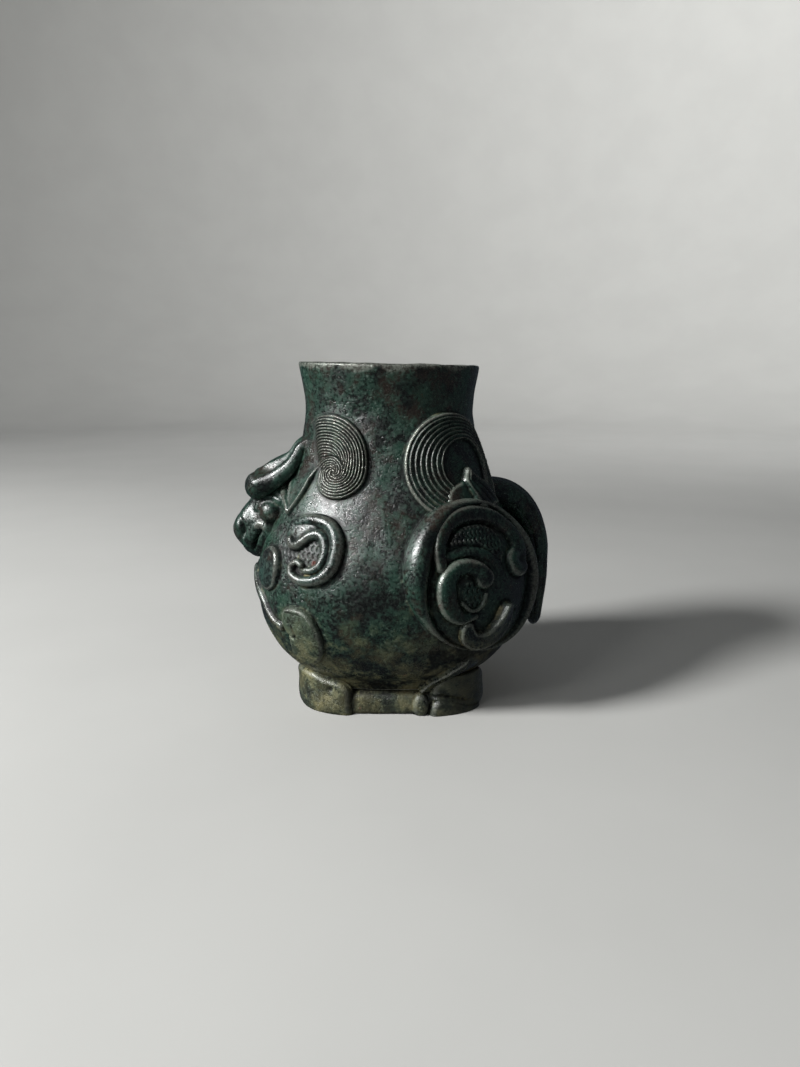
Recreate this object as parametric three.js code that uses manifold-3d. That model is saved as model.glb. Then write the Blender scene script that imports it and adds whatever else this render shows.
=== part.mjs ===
// Archaistic bronze vase in the form of a crouching horned beast.
// Millimetres, +Z up. The origin is the middle of the footprint; the beast looks towards -X, its tail is at +X,
// and its left side is the -Y side. The vessel is a pear-shaped shell; the ornament is a set of cast reliefs
// fitted to the shell with a thin solder gap.

import * as THREE from 'three';
import { mergeVertices } from 'three/addons/utils/BufferGeometryUtils.js';
import Module from 'manifold-3d';

const wasm = await Module();
wasm.setup();

// Driving dimensions of the vessel
const HEIGHT = 130;
const WALL = 3;
const LIP = 2.2;
const SEAM = 0.3; // solder gap between two pieces
const REACH = 62; // the nose and the tail both end this far from the axis
const NECK_LEAN = -0.7; // the mouth sits slightly off the foot's centre
const FOOT_HEIGHT = 9;
const FOOT_HALF_WIDTH = 34.8;
const FLANGE_REACH = 11; // the foot's inner flange, under the shell and the plate
const FLANGE_DEPTH = 2.6;
const PLATE_THICKNESS = 2;
const BODY_BOTTOM = FOOT_HEIGHT + SEAM;

// Shell profile: height and half-width along X, from the foot crease over the belly to the flared mouth
const PROFILE_HEIGHTS = [9, 14, 19, 30, 46, 60, 74, 90, 112, HEIGHT];
const PROFILE_HALF_WIDTHS = [32.6, 36.3, 42.2, 49.4, 52.5, 50.4, 44.0, 36.7, 31.8, 34.0];

// Plan: a rounded rectangle at the foot that turns into an oval at the mouth
const FOOT_DEPTH_RATIO = 0.85;
const MOUTH_DEPTH_RATIO = 0.9;
const FOOT_SQUARENESS = 3.3;
const OVAL_SQUARENESS = 2.2;
const SQUARENESS_FADE = 12;

// Fineness of the facets
const AROUND = 40;
const SECTION_STEPS = 5;
const UNDERSIDE = [0.8, 0.5, 0.2]; // where the flat underside of a moulding follows the wall

// Haunch: oval plate with a rolled rim, tilted down towards the tail, and the scrolls that lie on it
const HAUNCH_HALF_LENGTH = 34;
const HAUNCH_HALF_HEIGHT = 27.3;
const HAUNCH_TILT = THREE.MathUtils.degToRad(-15.9);
const HAUNCH_GROUND = 1.2;
const SCROLL_SEAT = 2 * SEAM + HAUNCH_GROUND;

// Rump lock: nested ribs of hair, each with a crest at its outer edge
const RUMP_RADIUS = 20.3;
const RUMP_SWEEP = [-128, 112]; // degrees from straight up, towards the tail
const RUMP_SEAT = 1.6 * SEAM; // keeps the seam under the long facets
const RIB_COUNT = 8;
const RIB_PITCH = 2;
const RIB_CREST = 1.65;
const RIB_ROOT = 1;

// Horn: half-thickness from the neck to the brow, and its section, a thick roll under a hollow petal;
// the section is in half-widths away from the beast's middle and half-thicknesses upwards
const HORN_HALF_WIDTH = 6.4;
const HORN_HALF_THICKNESSES = [1.6, 1.7, 2.2, 3.4, 4.4, 5.0, 5.7, 6.0];
const HORN_PETAL = [
  [-0.75, -0.5], [0, -0.96], [0.62, -0.84], [1, -0.36], [0.9, 0.06], [0.66, 0.12], [0.34, 0.2],
  [-0.04, 0.58], [-0.3, 1], [-0.66, 0.84], [-0.98, 0.1],
];

const PATINA = { dark: 0x1f2a26, green: 0x2b4038, olive: 0x3d4036, worn: 0x5a5549 };

// Shell surface

const profile = new THREE.CubicInterpolant(PROFILE_HEIGHTS, PROFILE_HALF_WIDTHS, 1);

/** Half-width of the shell along X at a height. */
function halfWidthAt(z) {
  return profile.evaluate(THREE.MathUtils.clamp(z, PROFILE_HEIGHTS[0], HEIGHT))[0];
}

/** Sideways shift of the shell's axis at a height. */
function leanAt(z) {
  return NECK_LEAN * THREE.MathUtils.smoothstep(z, 70, 110);
}

/** Distance from the axis to a superellipse of the given half-width, at an azimuth from -Y towards +X. */
function planRadius(azimuth, halfWidth, z) {
  const power = OVAL_SQUARENESS + (FOOT_SQUARENESS - OVAL_SQUARENESS) * Math.exp(-z / SQUARENESS_FADE);
  const depth = halfWidth * THREE.MathUtils.lerp(FOOT_DEPTH_RATIO, MOUTH_DEPTH_RATIO, z / HEIGHT);
  const alongX = Math.abs(Math.sin(azimuth)) / halfWidth;
  const alongY = Math.abs(Math.cos(azimuth)) / depth;
  return (alongX ** power + alongY ** power) ** (-1 / power);
}

/** Point at a height on a plan outline, moved out horizontally. */
function planPoint(azimuth, z, halfWidth, outset = 0) {
  const radius = planRadius(azimuth, halfWidth, z) + outset;
  return new THREE.Vector3(radius * Math.sin(azimuth) + leanAt(z), -radius * Math.cos(azimuth), z);
}

/** Point on the shell's outer wall, lifted along the wall's normal. */
function wallPoint(azimuth, z, lift = 0) {
  const step = 1e-3;
  const at = (turn, rise) => planPoint(azimuth + turn, z + rise, halfWidthAt(z + rise));
  const along = at(step, 0).sub(at(-step, 0));
  const up = at(0, step).sub(at(0, -step));
  return at(0, 0).addScaledVector(along.cross(up).normalize(), lift);
}

/** A place on the wall with its own flat coordinates in millimetres: p runs towards the tail, q runs up. */
class Site {
  constructor(azimuthDegrees, height) {
    const step = 1e-3;
    this.azimuth = THREE.MathUtils.degToRad(azimuthDegrees);
    this.height = height;
    const origin = wallPoint(this.azimuth, height);
    this.arc = wallPoint(this.azimuth + step, height).distanceTo(origin) / step;
    this.slope = wallPoint(this.azimuth, height + step).distanceTo(origin) / step;
  }

  at(p, q, lift) {
    return wallPoint(this.azimuth + p / this.arc, this.height + q / this.slope, lift);
  }
}

// Solid building

/** Skin over rings of points; the ends are capped, or joined to each other when the rings form a loop. */
function loft(rings, loop = false) {
  const count = rings[0].length;
  const points = rings.flat();
  const index = [];
  const last = loop ? rings.length : rings.length - 1;
  for (let i = 0; i < last; i += 1) {
    const here = i * count;
    const next = ((i + 1) % rings.length) * count;
    for (let j = 0; j < count; j += 1) {
      const k = (j + 1) % count;
      index.push(here + j, here + k, next + k, here + j, next + k, next + j);
    }
  }
  if (!loop) {
    const middle = (ring) => ring.reduce((sum, p) => sum.add(p), new THREE.Vector3()).divideScalar(count);
    const start = points.push(middle(rings[0])) - 1;
    const end = points.push(middle(rings.at(-1))) - 1;
    const lastRing = (rings.length - 1) * count;
    for (let j = 0; j < count; j += 1) {
      const k = (j + 1) % count;
      index.push(start, k, j, end, lastRing + j, lastRing + k);
    }
  }
  const geometry = new THREE.BufferGeometry().setFromPoints(points);
  geometry.setIndex(index);
  return facingOut(geometry);
}

/** Turns every triangle round when the skin encloses a negative volume. */
function facingOut(geometry) {
  const position = geometry.getAttribute('position');
  const index = geometry.getIndex().array;
  const corner = (i) => new THREE.Vector3().fromBufferAttribute(position, index[i]);
  let volume = 0;
  for (let i = 0; i < index.length; i += 3) volume += corner(i).dot(corner(i + 1).cross(corner(i + 2)));
  if (volume < 0) geometry.setIndex(Array.from(index).reverse());
  return geometry;
}

/** Solid of a closed geometry, for joining and cutting. */
function solidOf(geometry) {
  const bare = geometry.clone();
  bare.deleteAttribute('normal');
  bare.deleteAttribute('uv');
  const merged = mergeVertices(bare);
  return new wasm.Manifold(new wasm.Mesh({
    numProp: 3,
    vertProperties: new Float32Array(merged.getAttribute('position').array),
    triVerts: new Uint32Array(merged.getIndex().array),
  }));
}

/** Joins the geometries and cuts the tools away. */
function sculpt(geometries, tools = []) {
  let solid = solidOf(geometries[0]);
  for (const more of geometries.slice(1)) solid = solid.add(solidOf(more));
  for (const tool of tools) solid = solid.subtract(solidOf(tool));
  const mesh = solid.getMesh();
  const geometry = new THREE.BufferGeometry();
  geometry.setAttribute('position', new THREE.BufferAttribute(mesh.vertProperties, mesh.numProp));
  geometry.setIndex(new THREE.BufferAttribute(mesh.triVerts, 1));
  return geometry;
}

/** Angles of a full turn around the axis. */
function turn(count) {
  return Array.from({ length: count }, (_, i) => (2 * Math.PI * i) / count);
}

/** Values spread evenly from one end to the other. */
function spread(from, to, count) {
  return Array.from({ length: count }, (_, i) => from + ((to - from) * i) / (count - 1));
}

/** Value at a share of the way along numbers that are spread evenly. */
function valueAt(values, share) {
  const place = share * (values.length - 1);
  const low = Math.min(Math.floor(place), values.length - 2);
  return THREE.MathUtils.lerp(values[low], values[low + 1], place - low);
}

/** Flat spline through points. */
function flatSpline(points) {
  return new THREE.SplineCurve(points.map((p) => new THREE.Vector2(...p)));
}

// Relief primitives

/** Rounds the two ends of a moulding: 1 along most of its length, falling to a blunt tip. */
function blunt(t, head = 0.12, tail = head) {
  const short = Math.min(t / head, (1 - t) / tail, 1);
  return Math.sqrt(Math.max(0.03, 1 - (1 - short) ** 2));
}

/** Edges of a scroll: an arc or spiral, turning clockwise from an angle counted from straight up. */
function scroll({ centre, radius, decay = 0, start, sweep, halfWidth }) {
  const from = THREE.MathUtils.degToRad(start);
  const span = THREE.MathUtils.degToRad(sweep);
  return (t) => {
    const angle = from + span * t;
    const ray = new THREE.Vector2(Math.sin(angle), Math.cos(angle));
    const middle = radius * Math.exp(-decay * span * t);
    const half = halfWidth(t);
    const origin = new THREE.Vector2(...centre);
    return [origin.clone().addScaledVector(ray, middle + half), origin.addScaledVector(ray, middle - half)];
  };
}

/** Edges of a leaf: a bowed line with a width that changes along it. */
function leaf({ from, bow, to, halfWidth }) {
  const spine = new THREE.QuadraticBezierCurve(...[from, bow, to].map((p) => new THREE.Vector2(...p)));
  return (t) => {
    const point = spine.getPoint(t);
    const along = spine.getTangent(t);
    const across = new THREE.Vector2(-along.y, along.x).multiplyScalar(halfWidth(t));
    return [point.clone().add(across), point.sub(across)];
  };
}

/** Edges of a ribbon: a spline with half-widths spread evenly along it, and rounded ends. */
function ribbon({ points, halfWidths, head, tail }) {
  const spine = flatSpline(points);
  return (t) => {
    const point = spine.getPointAt(t);
    const along = spine.getTangentAt(t);
    const half = valueAt(halfWidths, t) * blunt(t, head, tail);
    const across = new THREE.Vector2(-along.y, along.x).multiplyScalar(half);
    return [point.clone().add(across), point.sub(across)];
  };
}

/** Edges along two splines, moved apart by a gap. */
function between(left, right, gap = 0) {
  const curves = [left, right].map(flatSpline);
  return (t) => {
    const [first, second] = curves.map((curve) => curve.getPointAt(t));
    const apart = first.clone().sub(second).setLength(gap);
    return [first.add(apart), second.sub(apart)];
  };
}

/** A moulding on the wall: a crowned section between two edges, flat underneath. */
function moulding(site, edges, { crown, steps, seat = SEAM }) {
  const rings = spread(0, 1, steps).map((t) => {
    const [left, right] = edges(t);
    const point = (across, lift) => {
      const spot = left.clone().lerp(right, across);
      return site.at(spot.x, spot.y, seat + lift);
    };
    const top = spread(0, Math.PI, SECTION_STEPS + 1).map((angle) =>
      point((1 - Math.cos(angle)) / 2, crown(t) * Math.sin(angle) ** 0.8));
    return [...top, ...UNDERSIDE.map((across) => point(across, 0))];
  });
  return loft(rings);
}

// Vessel

const LIP_ROUND = 0.8;
const SHELL_HEIGHTS = spread(BODY_BOTTOM, HEIGHT - LIP_ROUND, 21);

/** Level distance from the outside to the inside of the shell at a height. */
function wallInset(z) {
  const steep = (halfWidthAt(z + 0.1) - halfWidthAt(z - 0.1)) / 0.2;
  return WALL * Math.hypot(1, steep);
}

/** Shell open at the mouth and at the bottom, with an even wall and a rounded lip. */
function vesselBody() {
  const ring = (z, inset) => turn(AROUND).map((a) => planPoint(a, z, halfWidthAt(z), -inset));
  const outside = SHELL_HEIGHTS.map((z) => ring(z, 0));
  const lip = [ring(HEIGHT, LIP_ROUND), ring(HEIGHT, LIP - LIP_ROUND), ring(HEIGHT - LIP_ROUND, LIP)];
  const inside = SHELL_HEIGHTS.filter((_, i) => i % 2 === 0).slice(0, -1).reverse().map((z) => ring(z, wallInset(z)));
  return loft([...outside, ...lip, ...inside], true);
}

/** The shell's outer form as a filled solid, grown by a gap, for trimming what is fitted to it. */
function shellCore(gap) {
  const ring = (z, lift) => turn(AROUND).map((a) => wallPoint(a, z, lift).setZ(z));
  return loft([
    ring(BODY_BOTTOM, gap).map((p) => p.setZ(BODY_BOTTOM - gap)),
    ...SHELL_HEIGHTS.slice(1).map((z) => ring(z, gap)),
  ]);
}

/** Outline of the foot at a height, moved out horizontally. */
function footPoint(azimuth, z, outset = 0) {
  return planPoint(azimuth, 0, FOOT_HALF_WIDTH, outset).setZ(z);
}

/** Low ring with a rounded shoulder and an inner flange that carries the shell and the plate. */
function footRing() {
  const flangeTop = FOOT_HEIGHT;
  const section = [
    [-0.8, 0], [0, 0.8], [0, 6.2], [-2, flangeTop], [-FLANGE_REACH, flangeTop],
    [-FLANGE_REACH, flangeTop - FLANGE_DEPTH], [-4.2, flangeTop - FLANGE_DEPTH], [-3.6, 0],
  ];
  return loft(section.map(([outset, z]) => turn(AROUND).map((a) => footPoint(a, z, outset))), true);
}

/** The foot's outer form as a filled solid, grown by a gap. */
function footCore(gap) {
  return loft([-1, FOOT_HEIGHT + gap].map((z) => turn(AROUND).map((a) => footPoint(a, z, gap))));
}

/** Plate that closes the shell's bottom and rests on the foot's flange. */
function basePlate() {
  const inset = -wallInset(BODY_BOTTOM) - SEAM;
  const halfWidth = halfWidthAt(BODY_BOTTOM);
  const ring = (z, more) => turn(AROUND).map((a) => planPoint(a, BODY_BOTTOM, halfWidth, inset - more).setZ(z));
  const top = BODY_BOTTOM + PLATE_THICKNESS;
  return loft([ring(BODY_BOTTOM, 0), ring(top - 0.5, 0), ring(top, 0.5)]);
}

// Beast

/** Face: upright oval sections from inside the shoulder out to the nose, grown by a gap. */
function faceBlank(gap) {
  const sections = [
    { x: -34, middle: 72, halfHeight: 15.5, halfWidth: 14 },
    { x: -42, middle: 71.2, halfHeight: 15.6, halfWidth: 13.6 },
    { x: -48, middle: 69.6, halfHeight: 14.8, halfWidth: 12.2 },
    { x: -53.5, middle: 67.4, halfHeight: 12.4, halfWidth: 9.6 },
    { x: -57.3, middle: 66.9, halfHeight: 8.4, halfWidth: 7.4 },
    { x: 1.8 - REACH, middle: 66.2, halfHeight: 4.4, halfWidth: 4.9 },
    { x: -REACH, middle: 65.9, halfHeight: 1.4, halfWidth: 1.8 },
  ];
  return loft(sections.map(({ x, middle, halfHeight, halfWidth }) => turn(18).map((a) => new THREE.Vector3(
    x,
    (halfWidth + gap) * Math.cos(a),
    middle + (halfHeight + gap) * Math.sin(a),
  ))));
}

/** Head: the face with bulging eyes, fitted to the shell. */
function beastHead() {
  const eyes = [-1, 1].map((side) => new THREE.SphereGeometry(3.1, 10, 6).translate(-46.4, side * 11, 75.2));
  return sculpt([faceBlank(0), ...eyes], [shellCore(SEAM)]);
}

/** Petal-shaped horn that rises from the brow in a bulb and lies back along the neck. */
function horn() {
  const path = new THREE.CatmullRomCurve3([
    new THREE.Vector3(-30, -6.8, 103.8),
    new THREE.Vector3(-34.6, -7.4, 100.6),
    new THREE.Vector3(-36.8, -7.9, 96.8),
    new THREE.Vector3(-39.2, -8.2, 93.2),
    new THREE.Vector3(-42.6, -8.4, 90.2),
    new THREE.Vector3(-46.6, -8.2, 87.2),
    new THREE.Vector3(-50.6, -7.8, 84),
    new THREE.Vector3(-54.8, -7.2, 80.8),
  ]);
  const petal = HORN_PETAL.map(([away, up]) => new THREE.Vector2(-away, -up));
  const horned = sweep(path, 13, (t) => {
    const full = blunt(t, 0.02, 0.2);
    const size = new THREE.Vector2(HORN_HALF_WIDTH, valueAt(HORN_HALF_THICKNESSES, t)).multiplyScalar(full);
    const closing = THREE.MathUtils.smoothstep(t, 0.6, 0.86);
    return petal.map((p) => p.clone().lerp(p.clone().normalize(), closing).multiply(size));
  });
  return sculpt([horned], [shellCore(SEAM), faceBlank(SEAM), ear(0)]);
}

/** Sections along a path; their x is measured sideways along Y and their y square to it. */
function sweep(path, steps, section) {
  const side = new THREE.Vector3(0, 1, 0);
  return loft(spread(0, 1, steps).map((t) => {
    const centre = path.getPoint(t);
    const outward = path.getTangent(t).cross(side).normalize();
    return section(t).map((p) => centre.clone().addScaledVector(side, p.x).addScaledVector(outward, p.y));
  }));
}

/** Strap tail that springs from the rump, arches over and hangs clear of the shell. */
function tail() {
  const path = new THREE.CatmullRomCurve3([
    new THREE.Vector3(33, 0, 79.4),
    new THREE.Vector3(42, 0, 79.4),
    new THREE.Vector3(48.6, 0, 76.2),
    new THREE.Vector3(53.4, 0, 70),
    new THREE.Vector3(56.8, 0, 60),
    new THREE.Vector3(57.7, 0, 48),
    new THREE.Vector3(57.3, 0, 36),
    new THREE.Vector3(57, 0, 26.2),
  ]);
  const strap = sweep(path, 20, (t) => {
    const full = blunt(t, 0.01, 0.08);
    const across = (8.8 - 3.4 * t) * full;
    const thick = (6.6 - 3.8 * t ** 1.5) * full;
    return turn(12).map((a) => new THREE.Vector2(across * Math.cos(a), thick * Math.sin(a)));
  });
  return sculpt([strap], [shellCore(SEAM)]);
}

/** A rounded block on the foot, from one azimuth to another, standing proud of the ring. */
function footBlock({ from, to, top, proud, steps = 9 }) {
  return loft(spread(0, 1, steps).map((t) => {
    const azimuth = THREE.MathUtils.degToRad(from + (to - from) * t);
    const full = blunt(t, 0.3);
    const height = top * (0.45 + 0.55 * full);
    const out = proud * full;
    return [
      [-6, 0], [out * 0.7, 0], [out, 0.14 * height], [out, 0.5 * height],
      [out * 0.7, 0.76 * height], [-0.8, 0.96 * height], [-6, height],
    ].map(([outset, z]) => footPoint(azimuth, z, outset));
  }));
}

const footTools = () => [footCore(SEAM), shellCore(SEAM)];

/** Folded front hoof at the corner of the foot. */
function frontPaw() {
  return sculpt([footBlock({ from: -80, to: -26, top: 15, proud: 2 })], footTools());
}

/** Hind paw: two toes in front of a long heel. */
function hindPaw() {
  return sculpt([
    footBlock({ from: 16, to: 25.6, top: 8.4, proud: 2.1, steps: 7 }),
    footBlock({ from: 25, to: 44, top: 6.6, proud: 2.6, steps: 7 }),
    footBlock({ from: 31, to: 80, top: 15, proud: 1.8 }),
  ], footTools());
}

// Reliefs on the shell

const EAR = new Site(-57, 84);
const MANE = new Site(-35.7, 92);
const SHOULDER = new Site(-35.5, 64.5);
const CHEST = new Site(-63, 55.5);
const BREAST = new Site(-66, 42);
const KNEE = new Site(-40, 33);
const SHANK = new Site(33, 19);
const HAUNCH = new Site(45, 55);
const RUMP = new Site(42.8, 93);

const CURL_RADIUS = 20;
const CURL_DECAY = 0.2765;

/** Leaf-shaped ear that hangs behind the eye. */
function ear(seat) {
  const edges = leaf({ from: [3.6, 11.5], bow: [2.2, -1], to: [-1.5, -12], halfWidth: (t) => 6.2 * blunt(t, 0.5, 0.6) });
  return moulding(EAR, edges, { crown: () => 2.4, steps: 9, seat });
}

/** Lock of the mane: a snail whose turns nearly touch, so that its edge is one log spiral. */
function maneCurl() {
  const inner = Math.exp(-2 * Math.PI * CURL_DECAY);
  const startAngle = -40;
  const span = 500;
  const startRadius = CURL_RADIUS * Math.exp(-CURL_DECAY * THREE.MathUtils.degToRad(startAngle));
  const radiusAt = (t) => startRadius * Math.exp(-CURL_DECAY * THREE.MathUtils.degToRad(span) * t);
  const edges = scroll({
    centre: [0, 0],
    radius: (startRadius * (1 + inner)) / 2,
    decay: CURL_DECAY,
    start: startAngle,
    sweep: span,
    halfWidth: (t) => 0.94 * radiusAt(t) * (1 - inner) / 2,
  });
  return moulding(MANE, edges, { crown: (t) => 2.1 * Math.min(1, 0.25 + 5 * t), steps: 25 });
}

/** C-scroll on the shoulder with a broad upper arm and a knob at its lower end. */
function shoulderScroll() {
  const edges = scroll({
    centre: [0, 0],
    radius: 9,
    decay: 0.03,
    start: -64,
    sweep: 304,
    halfWidth: (t) => (3.5 + 1.2 * (1 - Math.min(1, t / 0.3))) * blunt(t, 0.1, 0.12),
  });
  return moulding(SHOULDER, edges, { crown: () => 2.4, steps: 21 });
}

/** Comma-shaped lobe under the jaw. */
function chestLobe() {
  const edges = leaf({ from: [0, 8], bow: [5, 0], to: [0.5, -7.6], halfWidth: (t) => 5.2 * blunt(t, 0.55, 0.45) });
  return moulding(CHEST, edges, { crown: () => 1.6, steps: 9 });
}

/** Narrow strap that runs from the middle of the breast down over its side. */
function breastStrap() {
  const edges = ribbon({
    points: [[-21.6, 7.6], [-17.4, 9], [-13, 9], [-5.5, 5.2], [1, 1.2], [5, -3.2], [8.6, -5.9], [12.8, -6.8]],
    halfWidths: [2, 2, 2.1, 2, 1.7],
    head: 0.001,
    tail: 0.08,
  });
  return moulding(BREAST, edges, { crown: () => 1.3, steps: 13 });
}

/** Bent knee of the folded front leg. */
function kneeLobe() {
  const edges = leaf({ from: [-5.5, 11], bow: [5, 4], to: [0.5, -11], halfWidth: (t) => 5.6 * blunt(t, 0.4, 0.3) });
  return moulding(KNEE, edges, { crown: () => 1.9, steps: 10 });
}

/** Lower hind leg between the haunch and the toes. */
function hindShank() {
  const edges = leaf({ from: [7.5, 6], bow: [3, 1], to: [-2, -6.5], halfWidth: () => 4 });
  return moulding(SHANK, edges, { crown: (t) => 1.7 * blunt(t, 0.3), steps: 7 });
}

/** Haunch plate: a flat ground inside a rolled rim that is broad in front and thin above and below. */
function haunch({ grow = 0, seat = SEAM } = {}) {
  const around = turn(26);
  const rimStart = (a) => 0.8275 + 0.05 * Math.cos(a) - 0.045 * Math.sin(a) - 0.0975 * Math.cos(2 * a);
  const rimCrown = (a) => 3.25 + 0.1 * Math.cos(a) + Math.sin(a) + 1.25 * Math.cos(2 * a);
  const point = (a, share, lift) => {
    const flat = new THREE.Vector2(
      (HAUNCH_HALF_LENGTH + grow) * share * Math.cos(a),
      (HAUNCH_HALF_HEIGHT + grow) * share * Math.sin(a),
    ).rotateAround(new THREE.Vector2(), HAUNCH_TILT);
    return HAUNCH.at(flat.x - 0.9, flat.y, seat + lift);
  };
  const under = spread(0.06, 1, 6).map((share) => around.map((a) => point(a, share, 0)));
  const rim = spread(1, 0, 5).slice(1).map((s) => around.map((a) => {
    const lift = HAUNCH_GROUND * (1 - s) + rimCrown(a) * Math.sin(Math.PI * s) ** 0.7 + grow;
    return point(a, THREE.MathUtils.lerp(rimStart(a), 1, s), lift);
  }));
  const ground = [0.66, 0.44, 0.22, 0.06].map((share) => around.map((a) =>
    point(a, share * rimStart(a), HAUNCH_GROUND + grow)));
  return loft([...under, ...rim, ...ground]);
}

/** Upper scroll of the haunch: an arc over the ground that ends in a drop. */
function upperScroll() {
  const edges = ribbon({
    points: [
      [-20, 5], [-19.3, 8.6], [-17.3, 12.2], [-14, 15.6], [-9.6, 18.2], [-4.5, 19.7], [0.9, 20],
      [6.2, 19.1], [11, 16.6], [14.7, 12.7], [16.3, 9], [15.6, 5.6], [14.1, 3.5], [11.6, 0.3],
    ],
    halfWidths: [2.2, 2.4, 2.5, 2.5, 2.4, 2.3, 2.3, 2.4, 2.9, 4, 4.8, 4.8],
    head: 0.05,
    tail: 0.1,
  });
  return moulding(HAUNCH, edges, { crown: () => 2.3, steps: 20, seat: SCROLL_SEAT });
}

/** Lower scroll of the haunch: a spiral that closes to a hook. */
function lowerScroll() {
  const edges = ribbon({
    points: [
      [-6.6, -12.6], [-13.4, -12.4], [-17.4, -8.8], [-18.9, -3.4], [-17.8, 1.4], [-14.2, 4.5], [-9.6, 5],
      [-5.8, 3.4], [-3.9, 0.6], [-1.9, -2.2],
    ],
    halfWidths: [1, 2.2, 3.3, 3.8, 3.6, 2.9, 2.5, 2.8, 3.7, 3.7],
    head: 0.05,
    tail: 0.1,
  });
  return moulding(HAUNCH, edges, { crown: () => 2.5, steps: 22, seat: SCROLL_SEAT });
}

/** Crescent at the foot of the haunch plate. */
function crescent() {
  const edges = between(
    [[8, -10.4], [9, -14.6], [7.2, -19.6], [3, -23.6], [-2.4, -25], [-8, -24], [-12, -21], [-12.8, -18], [-11.8, -15.9]],
    [[4.8, -9.8], [3, -11.8], [1.4, -14.4], [-0.4, -16.8], [-3, -18.5], [-5.8, -18.6], [-7.6, -17.4], [-9, -16]],
  );
  return moulding(HAUNCH, edges, { crown: (t) => 2.1 * blunt(t, 0.15), steps: 14, seat: SCROLL_SEAT });
}

/** Flame-shaped tuft that rises from the haunch. */
function rumpTuft({ grow = 0, seat = SEAM } = {}) {
  const edges = between(
    [[-2.4, -9.4], [0.6, -7], [2.3, -4], [2.8, -1.4], [4.2, 0.2 + grow]],
    [[12.2, -13.4], [13.9, -9.8], [12.2, -6.6], [9.2, -3.2], [5.4, 0.4 + grow]],
    grow,
  );
  return moulding(RUMP, edges, { crown: (t) => 2.7 * blunt(t, 0.01, 0.3) + grow, steps: 8, seat });
}

/** Lock behind the neck: nested ribs of hair, cut where the haunch and the tuft lie over them. */
function rumpCurl() {
  const crests = spread(RUMP_RADIUS, RUMP_RADIUS - (RIB_COUNT - 1) * RIB_PITCH, RIB_COUNT);
  const ribs = crests.flatMap((edge) => [[edge - 0.1 * RIB_PITCH, RIB_CREST], [edge - 0.95 * RIB_PITCH, RIB_ROOT]]);
  const inner = RUMP_RADIUS - RIB_COUNT * RIB_PITCH;
  const under = spread(inner, RUMP_RADIUS, 4).slice(0, -1);
  const section = [[RUMP_RADIUS, 0], ...ribs, ...under.map((radius) => [radius, 0])];
  const lock = loft(spread(...RUMP_SWEEP, 12).map((degrees) => {
    const angle = THREE.MathUtils.degToRad(degrees);
    const point = ([radius, lift]) => RUMP.at(radius * Math.sin(angle), radius * Math.cos(angle), RUMP_SEAT + lift);
    return section.map(point);
  }));
  return sculpt([lock], [haunch({ grow: SEAM, seat: 0 }), rumpTuft({ grow: SEAM, seat: 0 })]);
}

// Assembly

const group = new THREE.Group();

/** Adds one named piece of bronze. */
function add(parent, name, geometry, color, roughness = 0.42) {
  const mesh = new THREE.Mesh(geometry, new THREE.MeshStandardMaterial({ color, roughness, metalness: 0.75 }));
  mesh.name = name;
  parent.add(mesh);
}

add(group, 'vessel_body', vesselBody(), PATINA.dark);
add(group, 'foot_ring', footRing(), PATINA.olive, 0.55);
add(group, 'base_plate', basePlate(), PATINA.olive, 0.6);
add(group, 'beast_head', beastHead(), PATINA.green);
add(group, 'tail', tail(), PATINA.dark);

const pairedPieces = {
  horn: [horn(), PATINA.green],
  ear: [ear(SEAM), PATINA.green],
  mane_curl: [maneCurl(), PATINA.dark],
  shoulder_scroll: [shoulderScroll(), PATINA.worn],
  chest_lobe: [chestLobe(), PATINA.worn],
  breast_strap: [breastStrap(), PATINA.worn],
  knee_lobe: [kneeLobe(), PATINA.olive],
  front_paw: [frontPaw(), PATINA.olive],
  haunch: [haunch(), PATINA.green],
  upper_scroll: [upperScroll(), PATINA.green],
  lower_scroll: [lowerScroll(), PATINA.green],
  crescent: [crescent(), PATINA.worn],
  hind_shank: [hindShank(), PATINA.dark],
  hind_paw: [hindPaw(), PATINA.olive],
  rump_curl: [rumpCurl(), PATINA.dark],
  rump_tuft: [rumpTuft(), PATINA.green],
};

// The beast's right side mirrors its left
for (const [side, mirror] of [['left', 1], ['right', -1]]) {
  const half = new THREE.Group();
  half.scale.y = mirror;
  group.add(half);
  for (const [name, [geometry, color]] of Object.entries(pairedPieces)) {
    add(half, `${side}_${name}`, geometry, color);
  }
}

export default group;
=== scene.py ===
"""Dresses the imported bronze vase: a pear-shaped vessel in the form of a crouching horned beast.

Sizes are in millimetres unless a comment says otherwise, and meshes are written in metres. The azimuth
of a place on the wall is 0 towards -Y, the beast's left side, and 90 degrees towards its tail at +X.
"""

import logging
import math
from abc import ABC, abstractmethod
from collections.abc import Callable
from dataclasses import dataclass
from enum import Enum

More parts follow.
